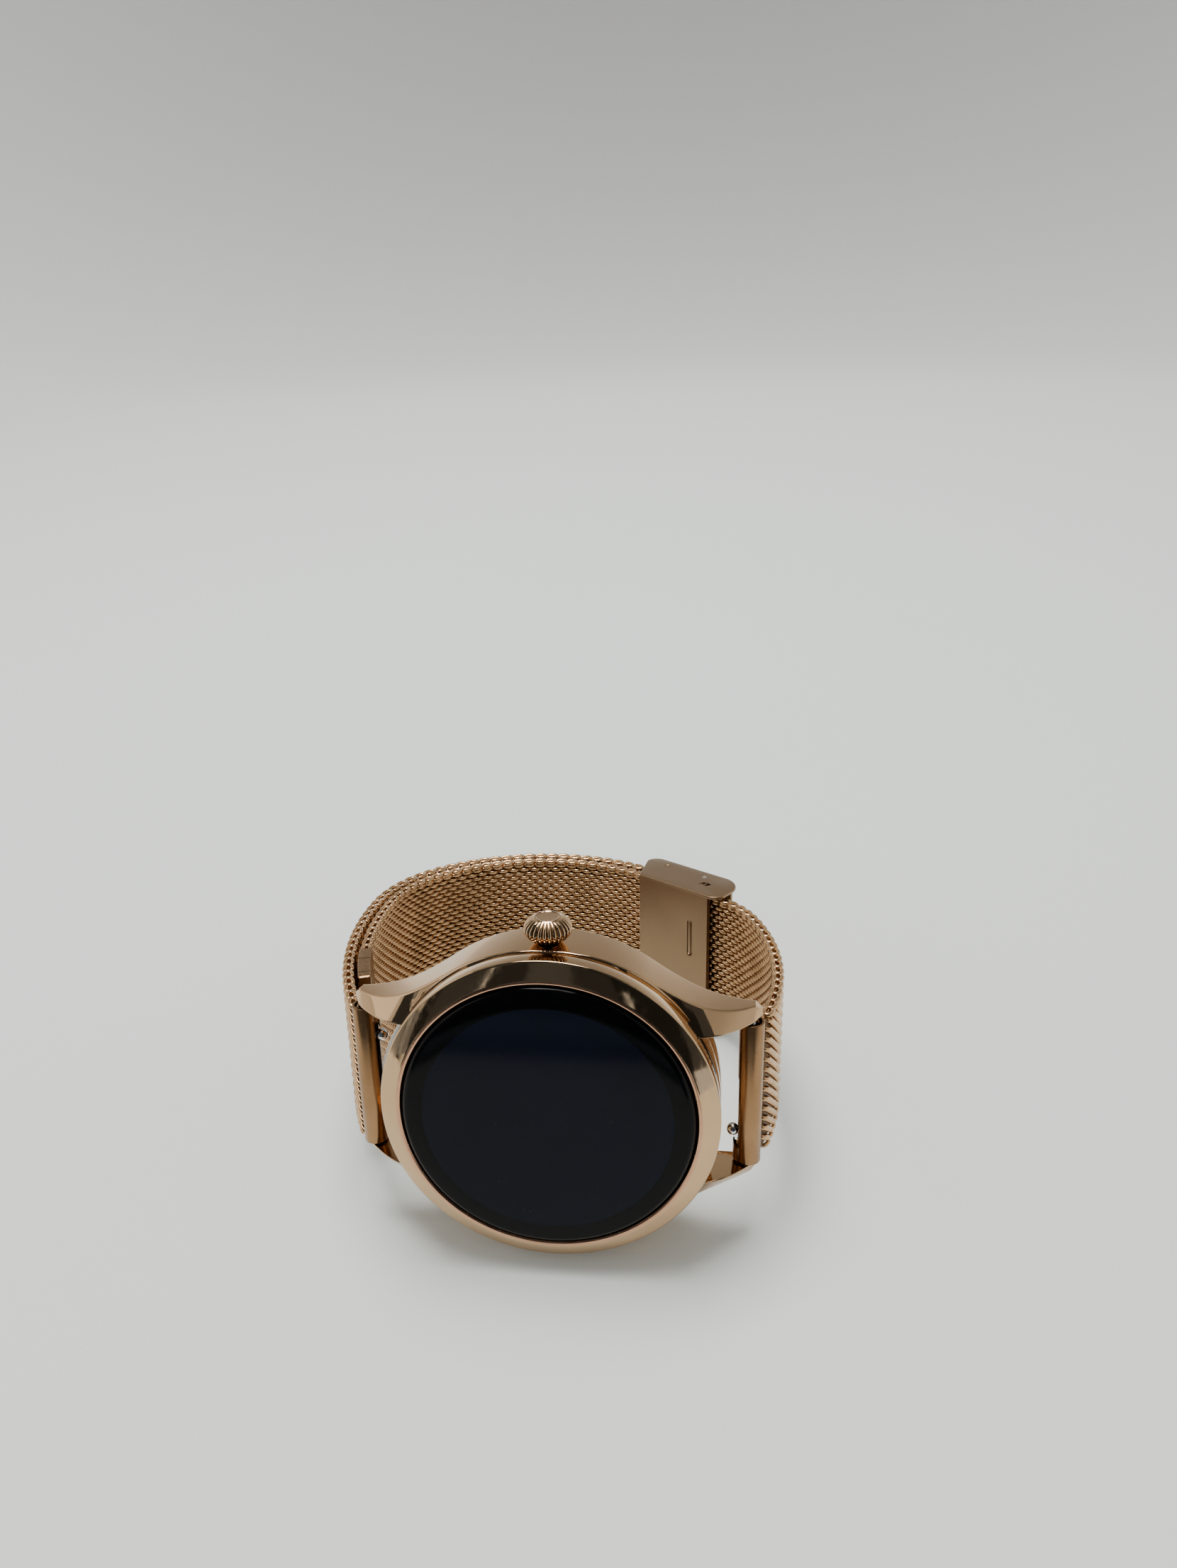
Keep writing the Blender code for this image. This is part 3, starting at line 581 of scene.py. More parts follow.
def core_strip(first, last, side, reach):
    """Corner rings, one per coil, of the thin flat core the coils are wound close round, a dark sheet
    of painted shade in the weave's gaps.
    """
    stations = COIL_STEP * (np.arange(first, last + 2) - 0.5)
    stations[0] -= reach[0]
    stations[-1] += reach[1]
    rings = []
    corners = ((-CORE_HALF, -CORE_Z), (CORE_HALF, -CORE_Z), (CORE_HALF, CORE_Z), (-CORE_HALF, CORE_Z))
    for away, z in corners:
        x, y, _ = seam_points(stations, side * LAYER + away)
        rings.append(np.stack((x, y, np.full_like(x, z)), 1))
    return np.stack(rings, 1)


def tube_faces(count, steps, sides):
    """Vertex numbers of a tube's rings, which start at count, and of the quads between them."""
    index = count + np.arange(steps * sides).reshape(steps, sides)
    following = np.roll(index, -1, axis=1)
    corners = (index[:-1], following[:-1], following[1:], index[1:])
    return index, np.stack(corners, 2).reshape(-1, 4)


def wire_mesh(name, coils, core):
    """One object with a round wire along each path, and the thin core they are wound round, a dark
    sheet of painted shade.
    """
    verts, quads, caps, count = [], [], [], 0
    around = 2 * np.pi * np.arange(WIRE_SIDES) / WIRE_SIDES
    for path, centre in coils:
        tangent = np.gradient(path, axis=0)
        tangent /= np.linalg.norm(tangent, axis=1, keepdims=True)
        radial = path - centre
        radial -= np.sum(radial * tangent, 1, keepdims=True) * tangent
        radial /= np.linalg.norm(radial, axis=1, keepdims=True)
        binormal = np.cross(tangent, radial)
        rings = (path[:, None, :] + WIRE_R * (np.cos(around)[None, :, None] * radial[:, None, :]
                                              + np.sin(around)[None, :, None] * binormal[:, None, :]))
        # Each end closes in a small dome: one more ring, narrower and a little further on
        for end, direction in ((0, -1.0), (-1, 1.0)):
            dome = path[end] + direction * DOME_RISE * WIRE_R * tangent[end]
            dome = dome + DOME_WIDTH * (rings[end] - path[end])
            rings = np.concatenate((dome[None], rings) if end == 0 else (rings, dome[None]))
        steps = len(rings)
        verts.append(rings.reshape(-1, 3))
        index, faces = tube_faces(count, steps, WIRE_SIDES)
        quads.append(faces)
        caps += [index[0][::-1], index[-1]]
        count += steps * WIRE_SIDES
    wire_quads = sum(len(q) for q in quads)
    verts.append(core.reshape(-1, 3))
    index, faces = tube_faces(count, len(core), 4)
    quads += [faces, np.array((index[0][::-1], index[-1]))]
    points = np.concatenate(verts)
    turn = np.array(WATCH, float)
    points = points @ turn[:3, :3].T + turn[:3, 3]
    quads = np.concatenate(quads)
    caps = np.array(caps)
    mesh = bpy.data.meshes.new(name)
    mesh.vertices.add(len(points))
    mesh.vertices.foreach_set("co", points.astype(np.float32).ravel())
    corners = np.concatenate((quads.ravel(), caps.ravel()))
    sizes = np.concatenate((np.full(len(quads), 4), np.full(len(caps), WIRE_SIDES)))
    mesh.loops.add(len(corners))
    mesh.loops.foreach_set("vertex_index", corners.astype(np.int32))
    mesh.polygons.add(len(sizes))
    starts = np.concatenate(([0], np.cumsum(sizes)[:-1]))
    mesh.polygons.foreach_set("loop_start", starts.astype(np.int32))
    mesh.update(calc_edges=True)
    mesh.shade_smooth()
    mesh.materials.append(MATERIALS["wire"])
    # The core's finish is dark painted shade between the wires.
    mesh.materials.append(MATERIALS["wire_core"])
    slots = np.zeros(len(sizes), np.int32)
    slots[wire_quads:len(quads)] = 1
    mesh.polygons.foreach_set("material_index", slots)
    piece = bpy.data.objects.new(name, mesh)
    bpy.context.scene.collection.objects.link(piece)
    return piece


def weave(name, first, last, side, nodes, bend, reach=(0.0, 0.0)):
    """A stretch of woven strap that stands for its CAD bands, which it hides.

    bend, two stations on the seam, is not used beyond two points that nothing reads; reach is how far
    its core runs on at each end.
    """
    begin = round(first / COIL_STEP)
    end = round(last / COIL_STEP) - 1
    piece = wire_mesh(name, coil_paths(begin, end, side), core_strip(begin, end, side, reach))
    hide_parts(*nodes)
    start, stop = (on_seam(station, side * LAYER) for station in bend)
    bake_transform(piece)


def make_weave():
    """The left strap in two stretches, outside, and the long strap in three, inside."""
    left_join, tail_join, clasp_join = 36.1, 62.2, 95.8      # where two stretches hook together
    weave("woven_strap_left_near", 1.7, left_join, 1, ["strap_left_1", "strap_left_2"],
          (17.0, 32.0), (0.5, 0.0))
    weave("woven_strap_left_far", left_join, 73.1, 1, ["strap_left_3"],
          (42.0, 57.0), (0.0, 1.0))
    weave("woven_strap_right", clasp_join, 122.6, -1, ["strap_right_1"],
          (109.0, 99.0), (0.0, 1.1))
    weave("woven_strap_in_clasp", tail_join, clasp_join, -1, ["strap_right_2"],
          (75.0, 68.0))
    weave("woven_strap_tail", 15.1, tail_join, -1, ["strap_tail_1", "strap_tail_2"],
          (53.0, 35.0), (0.4, 0.0))


# ---------------------------------------------------------------- head

def flank_height(x):
    """How far the case's flank stands from the watch's axis, at |x|: round, then an S to the lug."""
    x = abs(x)
    if x <= BOW_START:
        return math.sqrt(CASE_R ** 2 - x ** 2)
    start = Vector((BOW_START, math.sqrt(CASE_R ** 2 - BOW_START ** 2)))
    slope = -BOW_START / start.y
    points = (start, start + 4.2 * Vector((1.0, slope)), Vector((17.9, 11.2)), Vector(LUG_END))
    # The S is a cubic curve, halved again and again until it is at x
    low, high = 0.0, 1.0
    for _ in range(30):
        t = (low + high) / 2
        s = 1 - t
        at = (s ** 3 * points[0] + 3 * s * s * t * points[1] + 3 * s * t * t * points[2]
              + t ** 3 * points[3])
        if at.x < x:
            low = t
        else:
            high = t
    return at.y


def bow_section(x, top):
    """One section of the bow that carries two lugs: outer flank, rear, inner face and front facet."""
    reach = abs(x)
    outer = flank_height(reach)
    inner = max(LUG_GAP_HALF, math.sqrt(max(0.0, CASE_BORE_R ** 2 - reach ** 2)))
    along = max(0.0, (reach - 8.0) / (LUG_END[0] - 8.0))
    front_outer = 2.15 + 0.9 * min(1.0, reach / 12.0) ** 2 + 3.5 * along ** 3.2
    front_inner = 1.75 + 3.9 * max(0.0, (reach - 16.0) / (LUG_END[0] - 16.0)) ** 1.9
    corners = ((front_outer, outer), (CASE_REAR_Y, outer), (CASE_REAR_Y, inner), (front_inner, inner))
    eased = rounded(corners, *BOW_EASE)
    return [(x, p.x, top * p.y) for p in eased]


def make_case():
    """The middle case: a stepped ring and two bows, each with a lug at either end."""
    ring_r = CASE_R - 0.13
    steps = ((CASE_BORE_R, 1.95), (18.5, 1.95), (18.55, 2.5), (ring_r, 2.55), (ring_r, 4.75),
             (ring_r - 0.15, 4.8), (ring_r - 0.15, 5.0), (ring_r, 5.05), (ring_r, 7.7),
             (18.75, CASE_REAR_Y), (CASE_BORE_R, CASE_REAR_Y))
    case = finish_piece("case_with_lugs", turned(steps, 192, 0.08, 2), "polished", place=FACING_BACK)
    stations = np.concatenate((np.linspace(-LUG_END[0], -BOW_START, 40),
                               np.linspace(0.5 - BOW_START, BOW_START - 0.5, 43),
                               np.linspace(BOW_START, LUG_END[0], 40)))
    facet = rounded(((7.35, LUG_TIP[1]), (CASE_REAR_Y, LUG_TIP[1]), (CASE_REAR_Y, LUG_GAP_HALF),
                     (7.2, LUG_GAP_HALF)), *BOW_EASE)
    for top in (-1, 1):
        bow = [bow_section(x, top) for x in stations]
        left, right = ([(side * LUG_TIP[0], p.x, top * p.y) for p in facet] for side in (-1, 1))
        combine(case, loft([left] + bow + [right]), "UNION")

    crown_hole = turned_solid(((0, 15.0), (1.25, 15.0), (1.25, 21.0), (0, 21.0)), 48)
    holes = [moved(crown_hole, Matrix.Translation((0, CROWN_Y, 0)))]
    for side in (-1, 1):
        for top in (-1, 1):
            low, high = sorted((top * 9.0, top * 9.85))
            bar_hole = turned_solid(((0, low), (0.5, low), (0.5, high), (0, high)), 24)
            holes.append(moved(bar_hole, Matrix.Translation((side * BAR_X, BAR_Y, 0))))
    for hole in holes:
        combine(case, hole, "DIFFERENCE")
    resharpen(case, 22.0)
    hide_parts("mid_case")
    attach(case, "watch_head")


def make_bezel():
    """The bezel ring: a wide sloping face that ends in a small rolled lip round the glass."""
    profile = [(BEZEL_R, 1.65), (BEZEL_R, 0.10), (18.84, -0.05), (17.12, -0.82)]
    profile += arc((16.84, -0.5), 0.36, -68, -180, 7)
    profile += [(16.48, 0.5), (15.6, 0.5), (15.6, 1.65)]
    bezel = finish_piece("polished_bezel", turned(profile, 256, 0.05, 2), "bezel", place=FACING_BACK)
    # The lip's polygons get the deeper copper, a painted warm reflection.
    bezel.data.materials.append(MATERIALS["lip"])
    lip_r = 17.045
    for polygon in bezel.data.polygons:
        spot = WATCH.inverted() @ polygon.center
        if math.hypot(spot.x, spot.z) < lip_r and spot.y < -0.5:
            polygon.material_index = 1
    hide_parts("bezel_ring")
    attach(bezel, "watch_head")


def make_glass():
    """The cover glass: a flat face that curves down at its rim, dark border and display under it."""
    flat_r, rim_r = 15.6, 0.78
    rim = [(0, GLASS_Y), (DISPLAY_R, GLASS_Y), (flat_r, GLASS_Y)]
    rim += arc((flat_r, GLASS_Y + rim_r), rim_r, -75, 0, 5)
    rim += [(flat_r + rim_r, 0.0), (0, 0.0)]
    glass = finish_piece("black_cover_glass", turned_solid(rim, 192), "glass_border", place=FACING_BACK)
    glass.data.materials.append(MATERIALS["glass_display"])
    for polygon in glass.data.polygons:
        spot = WATCH.inverted() @ polygon.center
        if math.hypot(spot.x, spot.z) < DISPLAY_R and spot.y < GLASS_Y / 2:
            polygon.material_index = 1
    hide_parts("cover_glass")
    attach(glass, "watch_head")


def make_crown():
    """The fluted crown, round-shouldered under a small raised cap, and the spring it presses."""
    sides = CROWN_FLUTES * 10
    profile = [(1.28, 20.6), (1.28, 19.55), (1.62, 19.5), (1.9, 19.6), (2.2, 19.85), (2.45, 20.15),
               (2.6, 20.45), (2.66, 20.75), (2.62, 21.05), (2.48, 21.35), (2.24, 21.62), (1.95, 21.85),
               (1.68, 22.0), (1.5, 22.1), (1.42, 22.17), (1.34, 22.19), (1.26, 22.17), (1.2, 22.11),
               (1.1, 22.1)]
    rows = []
    for radius, height in profile:
        share = max(0.0, min(1.0, (radius - 1.55) / 0.6)) * (1.0 if height > 19.58 else 0.0)
        depth = 0.27 * share ** 0.8
        row = []
        for i in range(sides):
            angle = 2 * math.pi * i / sides
            ridge = abs(math.cos(CROWN_FLUTES * angle / 2)) ** 0.75
            r = radius - depth * (1 - ridge)
            row.append((r * math.cos(angle), r * math.sin(angle), height))
        rows.append(row)
    stem = Matrix.Translation((0, CROWN_Y, 0))
    crown = finish_piece("fluted_crown", loft(rows), "polished", 50.0, stem)
    coil_spring("crown_spring", 0.8, 0.1, 19.62, 20.55, 3, stem)
    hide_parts("crown_knob")
    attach(crown, "crown_knob")


# ---------------------------------------------------------------- bars and tubes

def slot_tab(side, lever_top):
    """The curved tab at the end of a tube's slot, which stops the lever's ball."""
    outer_r, inner_r = 0.85, 0.66
    outline = arc((0, 0), outer_r, 80, 280, 16) + arc((0, 0), inner_r, 280, 80, 16)
    if side < 0:
        outline = [(-x, y) for x, y in outline]
    outline = [(x - side * 0.95, y) for x, y in outline]
    tab = prism(outline, 7.3, 9.0)
    for vert in tab.verts:
        if vert.co.z > 8.0:
            continue
        reach = 1 - min(1.0, abs(vert.co.y) / outer_r)
        vert.co.z -= 1.15 * reach ** 2
    return moved(tab, Matrix.Scale(-1 if lever_top < 0 else 1, 4, (0, 0, 1)))


def make_bar(side, lever_top):
    """A rolled end tube with its window, the release lever with its ball, and the bar's spring."""
    word = "left" if side < 0 else "right"
    axis = Matrix.Translation((side * BAR_X, BAR_Y, 0))
    profile = ((1.12, -TUBE_HALF), (TUBE_R, -TUBE_HALF), (TUBE_R, TUBE_HALF), (1.12, TUBE_HALF))
    tube = finish_piece(f"rolled_tube_{word}", moved(turned(profile, 72, 0.06, 2), axis), "satin")
    low, high = sorted((-lever_top * 1.9, lever_top * 7.0))
    near, far = sorted((0.0, -side * 2.4))
    window = prism(rounded(((-0.62, low), (0.62, low), (0.62, high), (-0.62, high)), 0.5, 5), near, far)
    # The window is drawn in the tube's Y and Z, and cut along its X
    upright = Matrix(((0, 0, 1, 0), (1, 0, 0, 0), (0, 1, 0, 0), (0, 0, 0, 1)))
    combine(tube, moved(window, axis @ upright), "DIFFERENCE")
    combine(tube, moved(slot_tab(side, lever_top), axis), "UNION")
    resharpen(tube)
    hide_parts(f"end_tube_{word}")
    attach(tube, f"{word}_strap_base")

    along_bar = axis @ Matrix.Rotation(math.radians(180 if lever_top > 0 else 0), 4, "X")
    pin = ((0, -10.1), (0.3, -10.1), (0.4, -10.0), (0.42, -9.9), (0.42, -4.2), (0, -4.2))
    lever = finish_piece(f"lever_with_ball_{word}", turned_solid(pin, 32), "bright_steel",
                         place=along_bar)
    ball_r, ball_middle = 0.72, 1.85
    ball = [(0, 0.1), (0.3, 0.1), (0.3, 1.25)]
    ball += arc((0, ball_middle), ball_r, -50, 80, 13)
    ball += [(0, ball_middle + ball_r)]
    towards_case = Matrix.Rotation(math.radians(-90 * side), 4, "Y")
    at_ball = Matrix.Translation((side * BAR_X, BAR_Y, lever_top * 5.2)) @ towards_case
    combine(lever, moved(turned_solid(ball, 40), at_ball), "UNION")
    resharpen(lever)
    coil_spring(f"bar_spring_{word}", 0.3, 0.09, -4.0, 0.3, 5, along_bar)
    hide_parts(f"release_lever_{word}")
    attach(lever, f"{word}_lever")


def coil_spring(node, radius, wire_r, low, high, turns, place):
    """A helical spring about its place's Z, from low to high along it."""
    around, sides = 16, 8
    steps = turns * around
    rise = (high - low - 2 * wire_r) / steps
    sections = []
    for i in range(steps + 1):
        angle = 2 * math.pi * i / around
        outwards = Vector((math.cos(angle), math.sin(angle), 0.0))
        centre = radius * outwards + Vector((0, 0, low + wire_r + rise * i))
        section = []
        for k in range(sides):
            turn = 2 * math.pi * k / sides
            section.append(centre + wire_r * math.cos(turn) * outwards
                           + Vector((0, 0, wire_r * math.sin(turn))))
        sections.append(section)
    spring = finish_piece(f"{node}_wire", loft(sections), "steel", 60.0, place)
    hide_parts(node)
    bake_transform(spring)


# ---------------------------------------------------------------- clasp

def pin_dimple(place, top):
    """A shallow round hollow where a pin's end is riveted in the clasp's wall."""
    radius, depth, above = 0.42, 0.12, 0.3
    bowl = [(radius * math.cos(math.radians(a)), depth * math.sin(math.radians(a)))
            for a in range(-75, 1, 15)]
    cutter = turned_solid([(0, -depth)] + bowl + [(radius, above), (0, above)], 24)
    u, n = place
    outwards = Matrix.Rotation(0.0 if top > 0 else math.pi, 4, "X")
    return moved(cutter, CLASP @ Matrix.Translation((u, n, top * CLASP_HALF)) @ outwards)


def make_clasp():
    """The clasp's channel with rounded cheeks: a plate, two walls and a bridge between them."""
    half, rim = CLASP_HALF, PLATE_OUT + 1.0
    inside = half - CLASP_WALL
    cheek = ([(-6.0, PLATE_IN)] + arc((6.0, -1.1), 1.7, -90, 0, 8) + arc((4.4, 0.6), 3.3, 10, 80, 12)
             + [(-4.5, 3.85)] + arc((-6.6, 2.1), 1.75, 90, 180, 8))
    channel = ((PLATE_IN, -half), (PLATE_IN, half), (rim, half), (rim, inside),
               (PLATE_OUT, inside), (PLATE_OUT, -inside), (rim, -inside), (rim, -half))
    eased = rounded(channel, 0.38, 5)
    sections = [[(u, p.x, p.y) for p in eased] for u in (-5.95, 6.0)]
    clasp = finish_piece("clasp_channel", loft(sections), "clasp", place=CLASP)
    for low in (-half, inside):
        combine(clasp, moved(prism(cheek, low, low + CLASP_WALL, 0.2), CLASP), "UNION")
    bridge = box((4.5, 2.6, 0.15 - half), (6.2, 3.1, half - 0.15), 0.1)
    combine(clasp, moved(bridge, CLASP), "UNION")

    groove = box((2.62, PLATE_IN - 0.3, -0.1), (2.86, PLATE_IN + 0.16, 5.0), 0.04)
    combine(clasp, moved(groove, CLASP), "DIFFERENCE")
    ridge = box((2.86, PLATE_IN - 0.2, 0.0), (3.34, PLATE_IN + 0.2, 5.0), 0.14)
    combine(clasp, moved(ridge, CLASP), "UNION")
    bead = turned_solid(arc((0, 0), 0.32, -90, 90, 12), 24)
    combine(clasp, moved(bead, CLASP @ Matrix.Translation((3.05, PLATE_IN - 0.1, -0.15))), "UNION")

    for pin in (FRONT_DIMPLE, COVER_PIN):
        for top in (-1, 1):
            combine(clasp, pin_dimple(pin, top), "DIFFERENCE")
    opening = rounded(((2.5, -0.3), (3.9, -0.3), (4.3, 0.75), (2.9, 0.75)), 0.35, 4)
    for top in (-1, 1):
        low, high = sorted((top * (half - 1.0), top * (half + 1.0)))
        combine(clasp, moved(prism(opening, low, high), CLASP), "DIFFERENCE")
        low, high = sorted((top * (half - 0.42), top * (half - 0.06)))
        combine(clasp, moved(box((3.2, -0.45, low), (3.5, 0.9, high), 0.1), CLASP), "UNION")
    resharpen(clasp, 25.0)
    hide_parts("clasp_body")
    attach(clasp, "clasp")


def make_cover():
    """The clasp's flip cover: a flat lid with a knuckle that turns on the cover pin."""
    lid = [(-8.1, 3.3), (-7.95, 3.02), (0.9, 3.0), (0.98, 2.5)]
    lid += arc(COVER_PIN, 0.95, 175, 440, 22)
    lid += [(1.6, 3.58), (-7.6, 3.6), (-8.0, 3.52)]
    plate = prism(lid, -COVER_HALF, COVER_HALF, 0.07)
    cover = finish_piece("clasp_flip_cover", plate, "clasp", place=CLASP)
    bore = turned_solid(((0, -9.4), (0.48, -9.4), (0.48, 9.4), (0, 9.4)), 32)
    combine(cover, moved(bore, CLASP @ Matrix.Translation((*COVER_PIN, 0))), "DIFFERENCE")
    resharpen(cover)
    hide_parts("clasp_cover")
    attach(cover, "clasp_cover")


def make_tip():
    """The plain metal tip that clamps the long strap's end, with an eased end and two fine notches."""
    sections = []
    inner, outer, edge = -LAYER - 0.82, -LAYER + 0.8, STRAP_EDGE_Z
    for station in np.concatenate((np.linspace(7.02, 7.3, 4), np.linspace(7.6, 14.7, 24))):
        ease = 0.12 * max(0.0, (7.3 - station) / 0.28)
        profile = rounded(((inner + ease, ease - edge), (outer - ease, ease - edge),
                           (outer - ease, edge - ease), (inner + ease, edge - ease)), 0.22, 4)
        x, y, _ = seam_points([station] * len(profile), [p.x for p in profile])
        sections.append([(x[i], y[i], p.y) for i, p in enumerate(profile)])
    tip = finish_piece("strap_tip", loft(sections), "satin")
    low, high = LAYER - 0.9, LAYER + 0.9
    for station in (8.35, 12.0):
        notch = box((-0.06, -high, 8.75), (0.06, -low, 9.3), 0.02)
        combine(tip, moved(notch, seam_place(station)), "DIFFERENCE")
    resharpen(tip)
    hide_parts("tail_tip")
    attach(tip, "tail_end")


# ---------------------------------------------------------------- finishes on CAD nodes

def dress_cad_nodes():
    """Gives each CAD node that stays in sight its own finish."""
    finishes = {
        "steel": ("back_cover", "back_screw_1", "back_screw_2", "back_screw_3", "back_screw_4",
                  "crown_stem", "motor_body", "motor_weight", "cover_pin", "end_pin"),
        "bright_steel": ("spring_bar_left", "spring_bar_right"),
        "polished": ("crown_tube",),
        "satin": ("strap_end_plate",),
        "rubber": ("glass_gasket", "back_gasket", "crown_seal"),
        "glass_border": ("display_panel", "sensor_window"),
        "plastic": ("inner_frame", "crown_switch"),
        "board": ("main_board", "sensor_board"),
        "battery": ("battery",),
        "contact": ("charging_contact_left", "charging_contact_right"),
    }
    for material, names in finishes.items():
        for name in names:
            node = frame["nodes"][name]
            node.data.materials.clear()
            node.data.materials.append(MATERIALS[material])


# ---------------------------------------------------------------- stage

ROOM_Y = -100
ROOM = (
    # left, right, low and high in millimetres on a plane in front of the watch, and how bright
    (-190, -126, 0, 90, 0.34), (-126, -123, 0, 90, 0.02), (-123, -114, 4, 60, 0.45),
    (-123, -114, 0, 4, 0.03), (-114, -112, 0, 90, 0.02), (-112, -105, 8, 48, 0.30),
    (-105, -90, 0, 90, 0.03), (-90, -51, 0, 90, 0.07), (-190, -51, 90, 420, 0.05),
    (-51, -48, 0, 120, 0.6), (-48, -22, 14, 420, 0.04), (-22, 6, 14, 420, 0.10),
    (6, 33, 14, 420, 0.045), (-48, 41, 9, 14, 0.01), (-48, 41, 4, 9, 0.55), (-48, 41, 2.8, 4, 0.35),
    (-48, 41, 1.8, 2.8, 0.15), (-48, 41, 0.5, 1.8, 0.02), (-48, 41, 0, 0.5, 0.2),
    (38, 41, 60, 74, 0.8), (38, 41, 14, 60, 0.015), (38, 41, 74, 420, 0.02),
    (33, 38, 14, 420, 0.02), (41, 76, 16, 420, 0.022),
    (76, 140, 16, 420, 0.08), (41, 74, 0, 16, 0.02), (74, 140, 0, 16, 0.85),
)


def stage_object(name, builder, material):
    """An object of the stage, in metres, from a bmesh."""
    mesh = bpy.data.meshes.new(name)
    builder.to_mesh(mesh)
    builder.free()
    mesh.materials.append(material)
    made = bpy.data.objects.new(name, mesh)
    bpy.context.scene.collection.objects.link(made)
    return made


def make_room():
    """The dim room in front of the table. Only the shiny parts see it, as reflections."""
    panels = []
    for left, right, low, high, bright in ROOM:
        wall = Shader("room_wall", (0.0, 0.0, 0.0), 1.0, 0.0, Specular_IOR_Level=0.0,
                      Emission_Color=(0.92, 1.04, 1.18, 1.0), Emission_Strength=bright)
        sheet = bmesh.new()
        corners = ((left, low), (right, low), (right, high), (left, high))
        sheet.faces.new([sheet.verts.new((x * MM, ROOM_Y * MM, z * MM)) for x, z in corners])
        panel = stage_object("room_panel", sheet, wall.material)
        panel.visible_camera = False
        panel.visible_shadow = False
        panel.visible_diffuse = False
        panels.append(panel)
    return panels


def pale_paper():
    """Paper with painted shade that darkens it towards the back, and a faint painted cool tint of light
    round the watch.
    """
    paper = Shader("pale_paper", (0.74, 0.75, 0.74), 0.75, 0.0)
    depth = paper.node("ShaderNodeSeparateXYZ", Vector=paper.place).outputs["Y"]
    # Painted shade: the paper darkens from front to back, for the light falling off.
    paper.tint(depth, (0.73, 0.735, 0.725), (0.36, 0.36, 0.355), 0.42, 0.80)
    # Painted light: a faint cool tint on the paper round the watch.
    spot = paper.node("ShaderNodeVectorMath", Vector=paper.place)
    spot.operation = "DISTANCE"
    spot.inputs[1].default_value = (0.0, 0.14, 0.0)
    near = paper.node("ShaderNodeMapRange", Value=spot.outputs["Value"])
    near.inputs["From Min"].default_value = 0.02
    near.inputs["From Max"].default_value = 0.26
    tone = paper.node("ShaderNodeValToRGB", Fac=near.outputs["Result"])
    tone.color_ramp.elements[0].color = (0.95, 1.04, 1.01, 1.0)
    tone.color_ramp.elements[1].color = (1.0, 1.0, 1.0, 1.0)
    cool = paper.node("ShaderNodeMix")
    cool.data_type = "RGBA"
    cool.blend_type = "MULTIPLY"
    cool.inputs["Factor"].default_value = 1.0
    paper.link(paper.main.inputs["Base Color"].links[0].from_socket, cool.inputs["A"])
    paper.link(tone.outputs["Color"], cool.inputs["B"])
    paper.link(cool.outputs["Result"], paper.main.inputs["Base Color"])
    paper.bump(paper.noise(900.0, 3.0), 0.15, 0.0002)
    return paper.material


def make_sweep():
    """The floor: flat near the watch, curving up all round into a wall, in metres."""
    flat_r, curve_r, wall_top, sides = 0.5, 0.35, 1.3, 72
    outline = [(r, 0.0) for r in (0.02, 0.1, 0.2, 0.3, 0.4, flat_r)]
    outline += arc((flat_r, curve_r), curve_r, -84, 0, 14)
    outline += [(flat_r + curve_r, 0.6), (flat_r + curve_r, wall_top)]
    sweep = bmesh.new()
    rows = []
    for r, z in outline:
        turns = [2 * math.pi * i / sides for i in range(sides)]
        rows.append([sweep.verts.new((r * math.cos(a), r * math.sin(a), z)) for a in turns])
    sweep.faces.new(rows[0])
    for first, second in zip(rows, rows[1:]):
        for i in range(sides):
            j = (i + 1) % sides
            sweep.faces.new((second[i], second[j], first[j], first[i]))
    backdrop = stage_object("paper_sweep", sweep, pale_paper())
    backdrop.data.shade_smooth()
    return backdrop


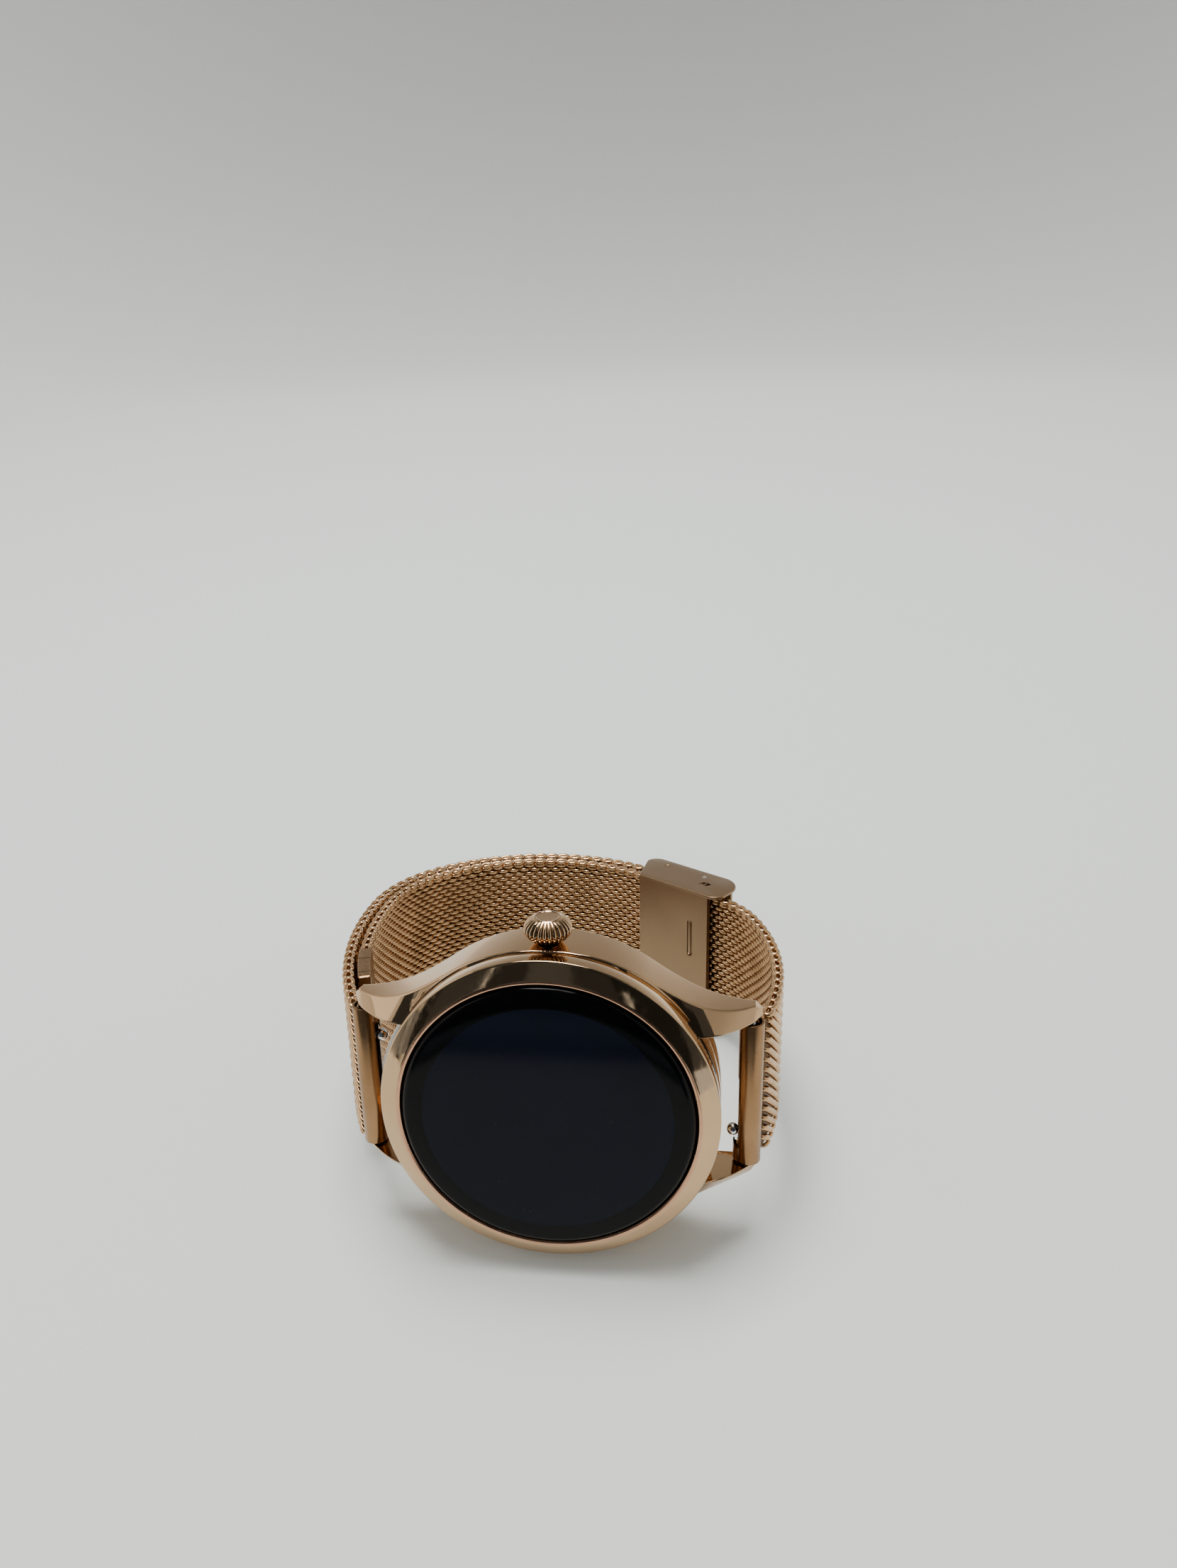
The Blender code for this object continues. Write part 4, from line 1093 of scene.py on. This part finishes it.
def make_stage():
    """The floor, the dim room in front, and a weak even light from all round."""
    backdrop = make_sweep()
    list(make_room())

    world = bpy.data.worlds.new("studio")
    bpy.context.scene.world = world
    world.use_nodes = True
    sky = world.node_tree.nodes["Background"]
    sky.inputs["Color"].default_value = (0.93, 0.97, 1.0, 1.0)
    sky.inputs["Strength"].default_value = 0.12


def add_light(name, place, target, size, power, colour):
    """A rectangular lamp that faces a target; places and sizes in metres, power in watts."""
    lamp = bpy.data.lights.new(name, "AREA")
    lamp.shape = "RECTANGLE"
    lamp.size, lamp.size_y = size
    lamp.energy = power
    lamp.color = colour
    light = bpy.data.objects.new(name, lamp)
    bpy.context.scene.collection.objects.link(light)
    light.location = place
    light.rotation_euler = (Vector(target) - Vector(place)).to_track_quat("-Z", "Y").to_euler()


def make_lights():
    """A large soft lamp overhead, a long narrow strip, and a faint one from the left."""
    add_light("soft_top", (-0.08, 0.16, 0.80), (0, 0.03, 0), (0.42, 0.36), 9.1, (1.0, 0.99, 0.97))
    add_light("strip", (0.1, -0.02, 0.75), (0.0, 0.0, 0.0), (1.2, 0.08), 1.2, (1.0, 0.99, 0.97))
    add_light("soft_left", (-0.7, -0.05, 0.45), (0, 0, 0.02), (0.4, 0.4), 0.3, (1.0, 0.98, 0.95))


def make_camera():
    """The camera, in the watch's frame: above, in front, and a little to the right."""
    place = in_row((18.087, -103.160, 74.559))
    pan_left, look_down, roll = 7.072, 18.998, -1.253    # degrees, from looking straight along Y
    turn = (Matrix.Rotation(math.radians(pan_left), 3, "Z")
            @ Matrix.Rotation(math.radians(90.0 - look_down), 3, "X")
            @ Matrix.Rotation(math.radians(roll), 3, "Z"))
    axes = WATCH.to_3x3().normalized() @ turn
    lens = bpy.data.cameras.new("camera")
    lens.lens = 25.61
    lens.clip_start = 0.005
    lens.clip_end = 20.0
    camera = bpy.data.objects.new("camera", lens)
    bpy.context.scene.collection.objects.link(camera)
    camera.matrix_world = Matrix.Translation(place) @ axes.to_4x4()
    bpy.context.scene.camera = camera


make_stage()
make_lights()
make_camera()
make_weave()
make_case()
make_bezel()
make_glass()
make_crown()
make_bar(-1, 1)
make_bar(1, -1)
make_clasp()
make_cover()
make_tip()
dress_cad_nodes()

bpy.context.view_layer.update()
